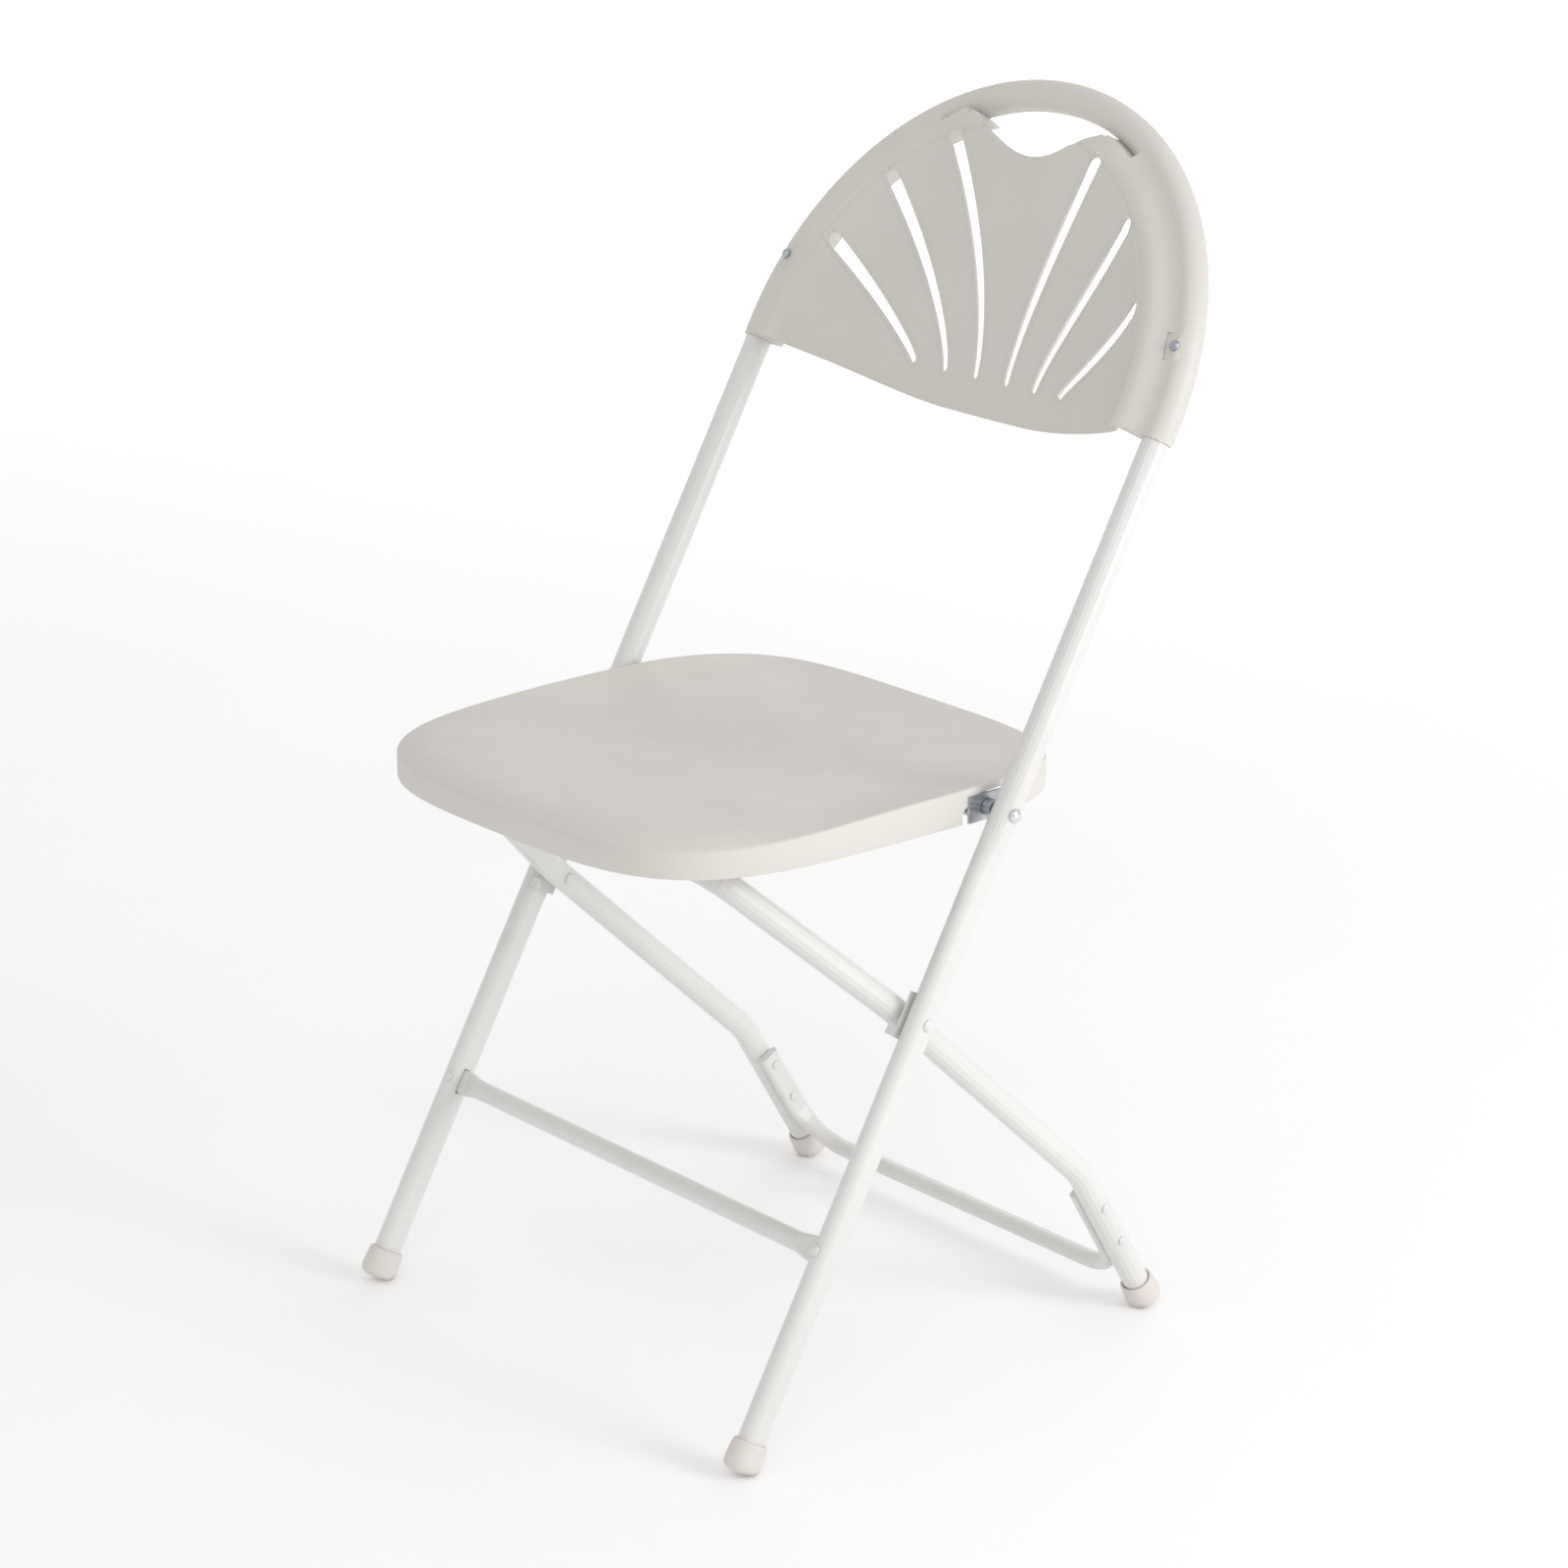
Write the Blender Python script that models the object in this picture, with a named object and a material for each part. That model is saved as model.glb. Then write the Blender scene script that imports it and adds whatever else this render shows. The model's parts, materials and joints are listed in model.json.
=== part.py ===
"""Fan-back folding chair: steel tube frame, moulded seat and moulded back shell.

Front faces -Y, +X is the sitter's left, +Z is up, metres.
The front legs and the back loop are one bent tube. Everything that is fixed to
that tube stays still; the seat and the rear leg frame fold on it.
"""
import math

import bmesh
import bpy
from mathutils import Matrix, Vector

# ---- driving dimensions: frame ------------------------------------------------
HALF_WIDTH = 0.2055          # centre plane to the centreline of a front tube
LEAN = math.radians(29.6)    # front tube, from the vertical
FRONT_FOOT_Y = -0.2257       # where the front tube's centreline meets the floor
TUBE_R = 0.0095
TUBE_WALL = 0.0012
FLAT_THIN = 0.0075           # half sizes of the tube where it is pressed flat
FLAT_WIDE = 0.0106
FLAT_END = 0.430             # along the tube: flat below, round above the blend
ROUND_START = 0.465
ARCH_START = 0.756           # along the tube: where the back loop begins

SEAT_PIVOT_Z = 0.413
CROSS_PIVOT_Z = 0.282
REAR_HALF = 0.183            # centre plane to a rear leg
REAR_TILT = math.atan(1.066)   # rear leg above its bend, from the vertical
FOOT_TILT = math.atan(0.590)   # rear leg below its bend, from the vertical
BEND_Z = 0.121
SLIDE_BAR_Z = 0.397
INWARD = 0.467               # rear leg moves in by this much for each metre of height
INWARD_START = 0.008         # height above the cross pivot where it starts

BRACE_Z = 0.138
BRACE_R = 0.007
REAR_BRACE_Z = 0.022
REAR_BRACE_R = 0.0065
RIVET_LOW_Z = 0.0615
RIVET_HIGH_Z = 0.091

GAP = 0.0003                 # between touching pieces
HOLE_GAP = 0.0003

# ---- driving dimensions: seat and back ----------------------------------------
SEAT_HALF = 0.187
SEAT_FRONT = -0.2605
SEAT_REAR = 0.1193
SEAT_TOP_Z = 0.430           # crown behind the front lip
SEAT_PAN_Z = 0.4202          # middle of the pan
LIP_Z = 0.423                # edge at the front
SIDE_RIM_Z = 0.4285          # edge beside the pivots
REAR_RIM_Z = 0.4255          # edge at the back
PLASTIC = 0.0035
SKIRT_FRONT_Z = 0.4050
SKIRT_REAR_Z = 0.4035
RAIL_X = 0.085
RAIL_TOP_Z = 0.4160
RAIL_FRONT = -0.202
RAIL_REAR = -0.003
EAR_X = 0.186

SHELL_R = 0.217
DISH_R = 0.177
DISH_TURN = 0.171            # here the dish turns up into the band
DISH_FLOOR = -0.0365
DISH_RISE = 0.227            # slope up the back
DISH_CURL = 0.577            # growing towards the top
DISH_BOW = 0.811             # hollow across the back
DISH_WING = 24.2             # and steeper at its sides
DISH_RIM = 0.018
SHELL_LOW = -0.0140          # rim ends, from the centre of the arch
SHELL_SAG = -0.0210           # middle of the panel's lower edge
HANDLE_R = 0.195
HANDLE_HALF = 0.066
SCALLOP = 0.160
SCREW_ANGLE = math.radians(14.0)

X_AXIS = Vector((1.0, 0.0, 0.0))
ALONG = Vector((0.0, math.sin(LEAN), math.cos(LEAN)))
OUT = Vector((0.0, -math.cos(LEAN), math.sin(LEAN)))


def on_frame(x, along, out=0.0):
    """Point in the leaning plane of the front tube."""
    return Vector((x, FRONT_FOOT_Y, 0.0)) + ALONG * along + OUT * out


def tube_at_height(height):
    return on_frame(0.0, height / math.cos(LEAN))


SEAT_PIVOT = tube_at_height(SEAT_PIVOT_Z)
CROSS_PIVOT = tube_at_height(CROSS_PIVOT_Z)


def rear_point(side, height):
    """Point on the centreline of a rear leg, its bends left sharp."""
    bend_y = CROSS_PIVOT.y + (CROSS_PIVOT_Z - BEND_Z) * math.tan(REAR_TILT)
    x = REAR_HALF - INWARD * max(0.0, height - CROSS_PIVOT_Z - INWARD_START)
    if height < BEND_Z:
        y = bend_y + (BEND_Z - height) * math.tan(FOOT_TILT)
    else:
        y = CROSS_PIVOT.y + (CROSS_PIVOT_Z - height) * math.tan(REAR_TILT)
    return Vector((side * x, y, height))


REAR_DOWN = (rear_point(1, 0.0) - rear_point(1, BEND_Z)).normalized()

# ---- scene and materials --------------------------------------------------------
for leftover in list(bpy.data.objects):
    bpy.data.objects.remove(leftover, do_unlink=True)


def material(name, colour, roughness, metallic=0.0):
    mat = bpy.data.materials.new(name)
    mat.use_nodes = True
    shader = mat.node_tree.nodes["Principled BSDF"]
    shader.inputs["Base Color"].default_value = (*colour, 1.0)
    shader.inputs["Roughness"].default_value = roughness
    shader.inputs["Metallic"].default_value = metallic
    return mat


PAINT = material("white_powder_coat", (0.80, 0.79, 0.77), 0.35)
SEAT_PLASTIC = material("seat_plastic", (0.68, 0.66, 0.62), 0.6)
BACK_PLASTIC = material("back_plastic", (0.70, 0.68, 0.64), 0.55)
CAP_RUBBER = material("foot_cap_plastic", (0.70, 0.66, 0.62), 0.65)
CHROME = material("chrome", (0.75, 0.75, 0.76), 0.12, 1.0)
ZINC = material("zinc_plate", (0.55, 0.56, 0.58), 0.35, 1.0)


# ---- shared modelling tools -----------------------------------------------------
def finish(name, bm, mat, smooth_angle=40.0):
    """Closed mesh to a named object, faces turned outwards, round parts smooth."""
    bmesh.ops.recalc_face_normals(bm, faces=bm.faces[:])
    mesh = bpy.data.meshes.new(name)
    bm.to_mesh(mesh)
    bm.free()
    mesh.shade_smooth()
    mesh.set_sharp_from_angle(angle=math.radians(smooth_angle))
    obj = bpy.data.objects.new(name, mesh)
    bpy.context.scene.collection.objects.link(obj)
    if mat:
        mesh.materials.append(mat)
    return obj


def boolean(target, operation, tool):
    """Cut or join with a tool object, which stays as a wire guide."""
    tool.hide_render = True
    tool.display_type = 'WIRE'
    modifier = target.modifiers.new(operation.lower() + "_" + tool.name, 'BOOLEAN')
    modifier.operation = operation
    modifier.object = tool
    modifier.solver = 'EXACT'


def smooth_step(value, low, high):
    t = min(1.0, max(0.0, (value - low) / (high - low)))
    return t * t * (3.0 - 2.0 * t)


def path_frames(points, start_normal):
    """Tangent, normal and binormal along a path, without twist."""
    frames = []
    normal = start_normal.normalized()
    last = len(points) - 1
    for i, point in enumerate(points):
        before = (point - points[i - 1]).normalized() if i > 0 else None
        after = (points[i + 1] - point).normalized() if i < last else None
        if before is None:
            tangent = after
        elif after is None:
            tangent = before
        else:
            tangent = (before + after).normalized()
        normal = (normal - tangent * normal.dot(tangent)).normalized()
        frames.append((tangent, normal.copy(), tangent.cross(normal)))
    return frames


def section_ring(bm, centre, normal, binormal, thin, wide, sides):
    """Ring of a round section, or of one pressed flat along its normal."""
    ring = []
    for k in range(sides):
        angle = 2.0 * math.pi * (k + 0.5) / sides
        stretch = math.copysign(wide - thin, math.sin(angle))
        offset = normal * thin * math.cos(angle)
        offset += binormal * (thin * math.sin(angle) + stretch)
        ring.append(bm.verts.new(centre + offset))
    return ring


def bridge(bm, ring_a, ring_b):
    count = len(ring_a)
    for k in range(count):
        n = (k + 1) % count
        bm.faces.new((ring_a[k], ring_a[n], ring_b[n], ring_b[k]))


def bar_mesh(points, start_normal, sizes, sides, wall=None):
    """Bar along a path; sizes gives (thin, wide) half sizes at each point."""
    bm = bmesh.new()
    frames = path_frames(points, start_normal)

    def rings(inset):
        made = []
        for point, frame, (thin, wide) in zip(points, frames, sizes):
            ring = section_ring(bm, point, frame[1], frame[2], thin - inset, wide - inset, sides)
            made.append(ring)
        for a, b in zip(made, made[1:]):
            bridge(bm, a, b)
        return made

    outer = rings(0.0)
    if wall is None:
        bm.faces.new(outer[0])
        bm.faces.new(outer[-1])
    else:
        inner = rings(wall)
        bridge(bm, outer[0], inner[0])
        bridge(bm, outer[-1], inner[-1])
    return bm


def rounded_path(corners, radii, step=math.radians(9.0)):
    """Corner points joined by straight runs, each inner corner filleted."""
    points = [corners[0]]
    for i in range(1, len(corners) - 1):
        corner = corners[i]
        back = (corners[i - 1] - corner).normalized()
        ahead = (corners[i + 1] - corner).normalized()
        half = back.angle(ahead) / 2.0
        reach = radii[i - 1] / math.tan(half)
        centre = corner + (back + ahead).normalized() * (radii[i - 1] / math.sin(half))
        start = corner + back * reach - centre
        end = corner + ahead * reach - centre
        turn = start.angle(end)
        axis = start.cross(end).normalized()
        count = max(2, round(turn / step))
        for k in range(count + 1):
            points.append(centre + Matrix.Rotation(turn * k / count, 3, axis) @ start)
    points.append(corners[-1])
    return points


def turned(bm, base, axis, profile, sides):
    """Turned solid: profile gives (distance along axis, radius), ends on the axis."""
    axis = axis.normalized()
    side = axis.orthogonal().normalized()
    other = axis.cross(side)
    rings = []
    for distance, radius in profile:
        ring = []
        for k in range(sides):
            angle = 2.0 * math.pi * k / sides
            offset = side * math.cos(angle) + other * math.sin(angle)
            ring.append(bm.verts.new(base + axis * distance + offset * radius))
        rings.append(ring)
    for a, b in zip(rings, rings[1:]):
        bridge(bm, a, b)
    bm.faces.new(rings[0])
    bm.faces.new(rings[-1])


def pin_tool(name, pins, sides=16):
    """Cutter made of straight pins: (start, end, radius)."""
    bm = bmesh.new()
    for start, end, radius in pins:
        turned(bm, start, end - start, [(0.0, radius), ((end - start).length, radius)], sides)
    return finish(name, bm, None)


def box_tool(name, boxes):
    """Cutter made of boxes: (centre, half sizes, three axes)."""
    bm = bmesh.new()
    for centre, half, axes in boxes:
        corners = []
        for i in (-1, 1):
            for j in (-1, 1):
                for k in (-1, 1):
                    offset = axes[0] * half[0] * i + axes[1] * half[1] * j + axes[2] * half[2] * k
                    corners.append(bm.verts.new(centre + offset))
        for face in ((0, 1, 3, 2), (4, 6, 7, 5), (0, 4, 5, 1), (2, 3, 7, 6), (0, 2, 6, 4), (1, 5, 7, 3)):
            bm.faces.new([corners[n] for n in face])
    return finish(name, bm, None)


def rivet(name, start, end, shank_r, head_r, head_h, mat, tail=True):
    """Domed rivet; the dome is past the end, a flat closing head past the start."""
    axis = (end - start).normalized()
    length = (end - start).length
    profile = []
    if tail:
        profile += [(-head_h, head_r * 0.55), (-head_h * 0.6, head_r * 0.9), (0.0, head_r)]
    profile += [(0.0, shank_r), (length, shank_r), (length, head_r)]
    profile += [(length + head_h * 0.55, head_r * 0.85), (length + head_h, head_r * 0.35)]
    bm = bmesh.new()
    turned(bm, start, axis, profile, 16)
    return finish(name, bm, mat)


def axis_empty(name, place):
    empty = bpy.data.objects.new(name, None)
    empty.location = place
    bpy.context.scene.collection.objects.link(empty)
    return empty


def hang_on(empty, *objects):
    for obj in objects:
        obj.parent = empty
        obj.matrix_parent_inverse = Matrix.Translation(-empty.location)


SIDES = (("left", 1.0), ("right", -1.0))


# ---- frame tube ------------------------------------------------------------------
def arch_points(radius, start, steps, out=0.0):
    """Half ring over the back, from +X to -X."""
    points = []
    for k in range(steps + 1):
        angle = math.pi * k / steps
        points.append(on_frame(radius * math.cos(angle), start + radius * math.sin(angle), out))
    return points


def build_frame_tube():
    foot = 0.0125
    flat = (FLAT_THIN, FLAT_WIDE)
    round_ = (TUBE_R, TUBE_R)
    leg = [(foot, flat), (FLAT_END, flat), (ROUND_START, round_)]
    points = [on_frame(HALF_WIDTH, along) for along, _ in leg]
    sizes = [size for _, size in leg]
    arch = arch_points(HALF_WIDTH, ARCH_START, 20)
    points += arch
    sizes += [round_] * len(arch)
    points += [on_frame(-HALF_WIDTH, along) for along, _ in reversed(leg)]
    sizes += [size for _, size in reversed(leg)]
    bm = bar_mesh(points, X_AXIS, sizes, 20, TUBE_WALL)
    tube = finish("back_frame_tube", bm, PAINT)
    pins = []
    slots = []
    reach = X_AXIS * 0.02
    wide = OUT * 0.016
    for _, side in SIDES:
        x = Vector((side * HALF_WIDTH, 0.0, 0.0))
        pins.append((SEAT_PIVOT + x - reach, SEAT_PIVOT + x + reach, PIVOT_R + HOLE_GAP))
        pins.append((CROSS_PIVOT + x - reach, CROSS_PIVOT + x + reach, PIVOT_R + HOLE_GAP))
        brace = on_frame(side * BRACE_RIVET_X, BRACE_ALONG)
        pins.append((brace - wide, brace + wide, SMALL_R + HOLE_GAP))
        screw = screw_place(side)
        pins.append((screw + OUT * 0.004, screw + OUT * 0.016, SCREW_R + HOLE_GAP))
        slot = on_frame(side * (HALF_WIDTH - FLAT_THIN), BRACE_ALONG)
        half = (0.004, PADDLE_TALL + GAP, PADDLE_THIN + GAP)
        slots.append((slot, half, (X_AXIS, ALONG, OUT)))
    boolean(tube, 'DIFFERENCE', pin_tool("frame_holes", pins))
    boolean(tube, 'DIFFERENCE', box_tool("frame_slots", slots))
    return tube


PIVOT_R = 0.003
SMALL_R = 0.002
SCREW_R = 0.0018
BRACE_ALONG = BRACE_Z / math.cos(LEAN)
BRACE_RIVET_X = 0.204
PADDLE_TALL = 0.009
PADDLE_THIN = 0.0025


def screw_place(side):
    x = side * HALF_WIDTH * math.cos(SCREW_ANGLE)
    return on_frame(x, ARCH_START + HALF_WIDTH * math.sin(SCREW_ANGLE))


# ---- feet --------------------------------------------------------------------------
def build_foot_cap(name, foot, up, thin, wide, top, mat):
    """Sleeve over a tube end with a level sole."""
    flat_dir = X_AXIS
    cross_dir = up.cross(flat_dir).normalized()
    sides = 20
    wall = 0.0022
    flare = 0.0034
    tube_end = 0.0125 - GAP
    bm = bmesh.new()

    def ring(along, grow):
        centre = foot + up * along
        return section_ring(bm, centre, flat_dir, cross_dir, thin + grow, wide + grow, sides)

    def to_floor(vertices, height):
        for vert in vertices:
            vert.co += up * ((height - vert.co.z) / up.z)

    sole = ring(0.0, flare - 0.0015)
    to_floor(sole, 0.0)
    edge = ring(0.0, flare)
    to_floor(edge, 0.0018)
    rim = ring(top, wall)
    mouth = ring(top, GAP)
    seat = ring(tube_end, GAP)
    bridge(bm, sole, edge)
    bridge(bm, edge, rim)
    bridge(bm, rim, mouth)
    bridge(bm, mouth, seat)
    bm.faces.new(seat)
    bm.faces.new(sole)
    return finish(name, bm, mat)


# ---- front brace ---------------------------------------------------------------------
def build_front_brace():
    """Tube between the front legs; its flattened ends sit in slots in the legs."""
    stations = [(0.209, True), (0.190, True), (0.178, False)]
    mirrored = [(-x, flat) for x, flat in reversed(stations)]
    points = []
    sizes = []
    for x, flat in stations + mirrored:
        points.append(on_frame(x, BRACE_ALONG))
        sizes.append((PADDLE_THIN, PADDLE_TALL) if flat else (BRACE_R, BRACE_R))
    brace = finish("front_brace", bar_mesh(points, OUT, sizes, 16), PAINT)
    pins = []
    for _, side in SIDES:
        place = on_frame(side * BRACE_RIVET_X, BRACE_ALONG)
        pins.append((place - OUT * 0.01, place + OUT * 0.01, SMALL_R + HOLE_GAP))
    boolean(brace, 'DIFFERENCE', pin_tool("brace_holes", pins))


def build_brace_rivets():
    for label, side in SIDES:
        place = on_frame(side * BRACE_RIVET_X, BRACE_ALONG)
        reach = OUT * (FLAT_WIDE + GAP)
        rivet("front_brace_rivet_" + label, place - reach, place + reach, SMALL_R, 0.0042, 0.0018, PAINT)


# ---- pivots on the frame ---------------------------------------------------------------
def build_seat_pivots():
    for label, side in SIDES:
        outer = SEAT_PIVOT + X_AXIS * side * (HALF_WIDTH + TUBE_R + GAP)
        inner = SEAT_PIVOT + X_AXIS * side * (EAR_X - GAP)
        rivet("seat_pivot_rivet_" + label, inner, outer, PIVOT_R, 0.0050, 0.0026, CHROME)
        start = SEAT_PIVOT + X_AXIS * side * (EAR_X + 0.002 + GAP)
        end = SEAT_PIVOT + X_AXIS * side * (HALF_WIDTH - TUBE_R - GAP)
        spacer = pin_solid("seat_pivot_spacer_" + label, start, end, 0.0060, ZINC)
        hole = pin_tool("spacer_bore_" + label, [(start - (end - start), end + (end - start), PIVOT_R + HOLE_GAP)])
        boolean(spacer, 'DIFFERENCE', hole)


def pin_solid(name, start, end, radius, mat):
    bm = bmesh.new()
    turned(bm, start, end - start, [(0.0, radius), ((end - start).length, radius)], 20)
    return finish(name, bm, mat)


def build_cross_pivots():
    """Rivet and stop bracket where a rear leg crosses a front leg."""
    rear_out = REAR_HALF + TUBE_R
    frame_in = HALF_WIDTH - FLAT_THIN
    for label, side in SIDES:
        x = X_AXIS * side
        outer = CROSS_PIVOT + x * (HALF_WIDTH + FLAT_THIN + GAP)
        inner = CROSS_PIVOT + x * (REAR_HALF - TUBE_R - GAP)
        rivet("cross_pivot_rivet_" + label, inner, outer, PIVOT_R, 0.0045, 0.0020, PAINT)
        plate_mid = (frame_in - GAP - STOP_PLATE / 2.0)
        plate = (CROSS_PIVOT + x * plate_mid + OUT * 0.003, (STOP_PLATE / 2.0, 0.018, 0.0105), (x, ALONG, OUT))
        bracket = box_tool("stop_bracket_" + label, [plate])
        bracket.data.materials.append(PAINT)
        boss_out = CROSS_PIVOT + x * (plate_mid)
        boss_in = CROSS_PIVOT + x * (rear_out + GAP)
        boss = pin_tool("stop_boss_" + label, [(boss_in, boss_out, 0.007)], 20)
        tab_x = (REAR_HALF + 0.003 + plate_mid) / 2.0
        tab_half = (plate_mid - REAR_HALF - 0.003) / 2.0
        tab_place = CROSS_PIVOT + x * tab_x + OUT * 0.0125 - ALONG * 0.0130
        tab = box_tool("stop_tab_" + label, [(tab_place, (tab_half, 0.0048, 0.001), (x, ALONG, OUT))])
        boolean(bracket, 'UNION', boss)
        boolean(bracket, 'UNION', tab)
        hole = pin_tool("stop_bore_" + label, [(inner, outer, PIVOT_R + HOLE_GAP)])
        boolean(bracket, 'DIFFERENCE', hole)


STOP_PLATE = 0.0018


# ---- rear leg frame ----------------------------------------------------------------------
def build_rear_frame():
    top = rear_point(1, SLIDE_BAR_Z)
    cross = rear_point(1, CROSS_PIVOT_Z + INWARD_START)
    bend = rear_point(1, BEND_Z)
    foot = rear_point(1, 0.0) - REAR_DOWN * 0.0125
    half = [foot, bend, cross, top]
    corners = half + [Vector((-p.x, p.y, p.z)) for p in reversed(half)]
    radii = [0.045, 0.060, 0.032, 0.032, 0.060, 0.045]
    points = rounded_path(corners, radii)
    sizes = [(TUBE_R, TUBE_R)] * len(points)
    tube = finish("rear_leg_frame", bar_mesh(points, X_AXIS, sizes, 16, TUBE_WALL), PAINT)
    pins = []
    for _, side in SIDES:
        x = X_AXIS * side
        pins.append((CROSS_PIVOT + x * 0.168, CROSS_PIVOT + x * 0.197, PIVOT_R + HOLE_GAP))
        for height in (RIVET_LOW_Z, RIVET_HIGH_Z):
            place = rear_point(side, height)
            pins.append((place - x * 0.012, place + x * 0.012, SMALL_R + HOLE_GAP))
    boolean(tube, 'DIFFERENCE', pin_tool("rear_frame_holes", pins))
    return tube


ARM_THIN = 0.0034
ARM_WIDE = 0.0082
ARM_X = REAR_HALF - TUBE_R - ARM_THIN - GAP
BRACE_BEND = 0.036


def build_rear_brace():
    """U-shaped tube low between the rear legs, its flattened arms riveted inside them."""
    up = -REAR_DOWN
    base = rear_point(1, 0.0)

    def place(x, height):
        return Vector((x, base.y, 0.0)) + up * (height / up.z)

    arm_top = RIVET_HIGH_Z + 0.009
    corners = [place(ARM_X, arm_top), place(ARM_X, REAR_BRACE_Z), place(-ARM_X, REAR_BRACE_Z), place(-ARM_X, arm_top)]
    points = rounded_path(corners, [BRACE_BEND, BRACE_BEND])
    sizes = []
    for point in points:
        turn = math.acos(max(0.0, 1.0 - (ARM_X - abs(point.x)) / BRACE_BEND))
        share = smooth_step(turn, 0.0, math.radians(50.0))
        thin = ARM_THIN + (REAR_BRACE_R - ARM_THIN) * share
        sizes.append((thin, ARM_WIDE + (REAR_BRACE_R - ARM_WIDE) * share))
    brace = finish("rear_brace", bar_mesh(points, X_AXIS, sizes, 16), PAINT)
    pins = []
    for label, side in SIDES:
        for height in (RIVET_LOW_Z, RIVET_HIGH_Z):
            middle = rear_point(side, height)
            middle.x = side * ARM_X
            pins.append((middle - X_AXIS * 0.006, middle + X_AXIS * 0.006, SMALL_R + HOLE_GAP))
    boolean(brace, 'DIFFERENCE', pin_tool("rear_brace_holes", pins))
    parts = [brace]
    for label, side in SIDES:
        for level, height in (("lower", RIVET_LOW_Z), ("upper", RIVET_HIGH_Z)):
            middle = rear_point(side, height)
            outer = Vector((side * (REAR_HALF + TUBE_R + GAP), middle.y, middle.z))
            inner = Vector((side * (ARM_X - ARM_THIN - GAP), middle.y, middle.z))
            name = "rear_brace_rivet_" + level + "_" + label
            parts.append(rivet(name, inner, outer, SMALL_R, 0.0036, 0.0013, PAINT))
    return parts


# ---- seat -----------------------------------------------------------------------------------
def seat_outline(angle, inset=0.0):
    """Rounded outline, fuller at the rear corners than at the front ones."""
    middle = (SEAT_FRONT + SEAT_REAR) / 2.0
    half_x = SEAT_HALF - inset
    half_y = (SEAT_REAR - SEAT_FRONT) / 2.0 - inset
    c = math.cos(angle)
    s = math.sin(angle)
    power = 4.2 if s > 0.0 else 3.6
    reach = (abs(c) ** power + abs(s) ** power) ** (-1.0 / power)
    return half_x * c * reach, middle + half_y * s * reach


def seat_inset(x, y):
    """Distance from the outline to a point inside it."""
    middle = (SEAT_FRONT + SEAT_REAR) / 2.0
    half_y = (SEAT_REAR - SEAT_FRONT) / 2.0
    power = 4.2 if y > middle else 3.6
    low = 0.0
    high = SEAT_HALF
    for _ in range(24):
        inset = (low + high) / 2.0
        across = abs(x) / (SEAT_HALF - inset)
        along = abs(y - middle) / (half_y - inset)
        if across ** power + along ** power < 1.0:
            low = inset
        else:
            high = inset
    return low


def seat_top(y, inset):
    """Height of the seat: a level front behind a rolled lip, and a pan inside raised rims."""
    rim = LIP_Z + (SIDE_RIM_Z - LIP_Z) * smooth_step(y, SEAT_FRONT, -0.040)
    rim += (REAR_RIM_Z - SIDE_RIM_Z) * smooth_step(y, 0.0, SEAT_REAR)
    middle = SEAT_TOP_Z + (SEAT_PAN_Z - SEAT_TOP_Z) * smooth_step(y, -0.215, -0.055)
    roll = 0.024 + 0.036 * smooth_step(y, -0.200, -0.080)
    return middle + (rim - middle) * max(0.0, 1.0 - inset / roll) ** 2


def skirt_foot(y):
    run = min(1.0, max(0.0, (y - SEAT_FRONT) / 0.26))
    return SKIRT_FRONT_Z + (SKIRT_REAR_Z - SKIRT_FRONT_Z) * run


def build_seat():
    count = 56
    insets = (0.150, 0.105, 0.070, 0.044, 0.026, 0.013, 0.005, 0.001)
    middle = Vector((0.0, (SEAT_FRONT + SEAT_REAR) / 2.0, 0.0))
    bm = bmesh.new()

    def ring(inset, height):
        made = []
        for k in range(count):
            x, y = seat_outline(2.0 * math.pi * k / count, inset)
            made.append(bm.verts.new((x, y, height(y, inset))))
        return made

    def fan(first, height):
        centre = bm.verts.new((0.0, middle.y, height))
        for k in range(count):
            bm.faces.new((centre, first[k], first[(k + 1) % count]))

    top = [ring(inset, seat_top) for inset in insets]
    fan(top[0], seat_top(middle.y, SEAT_HALF))
    wall = [ring(0.0, lambda y, inset: seat_top(y, 0.0) - 0.0012)]
    wall.append(ring(0.0, lambda y, inset: skirt_foot(y)))
    wall.append(ring(PLASTIC, lambda y, inset: skirt_foot(y)))
    wall.append(ring(PLASTIC, lambda y, inset: seat_top(y, PLASTIC) - PLASTIC))
    under = [ring(inset, lambda y, d: seat_top(y, d) - PLASTIC) for inset in reversed(insets[:-2])]
    rings = top + wall + under
    for a, b in zip(rings, rings[1:]):
        bridge(bm, a, b)
    fan(under[-1], seat_top(middle.y, SEAT_HALF) - PLASTIC)
    seat = finish("seat_shell", bm, SEAT_PLASTIC)

    bosses = []
    pilots = []
    cuts = []
    for x, y, base in seat_screws():
        pan = seat_top(y, seat_inset(x, y)) - PLASTIC * 0.5
        bosses.append((Vector((x, y, base)), Vector((x, y, pan)), 0.0055))
        pilots.append((Vector((x, y, base - 0.003)), Vector((x, y, base + SCREW_BITE + 0.0008)), SCREW_R + HOLE_GAP))
    for _, side in SIDES:
        place = Vector((side * SEAT_HALF, SEAT_PIVOT.y + 0.004, 0.4085))
        cuts.append((place, (0.0120, 0.0250, 0.0150), (X_AXIS, Vector((0, 1, 0)), Vector((0, 0, 1)))))
    boolean(seat, 'UNION', pin_tool("seat_bosses", bosses, 16))
    boolean(seat, 'DIFFERENCE', pin_tool("seat_pilots", pilots, 12))
    boolean(seat, 'DIFFERENCE', box_tool("seat_side_cuts", cuts))
    return seat


RAIL_SCREW_Y = (-0.172, -0.037)
FLANGE_TOP_Z = 0.4115
FLANGE_SCREW_Y = (0.000, 0.024)
FLANGE_X = 0.166
SCREW_BITE = 0.0020


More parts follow.
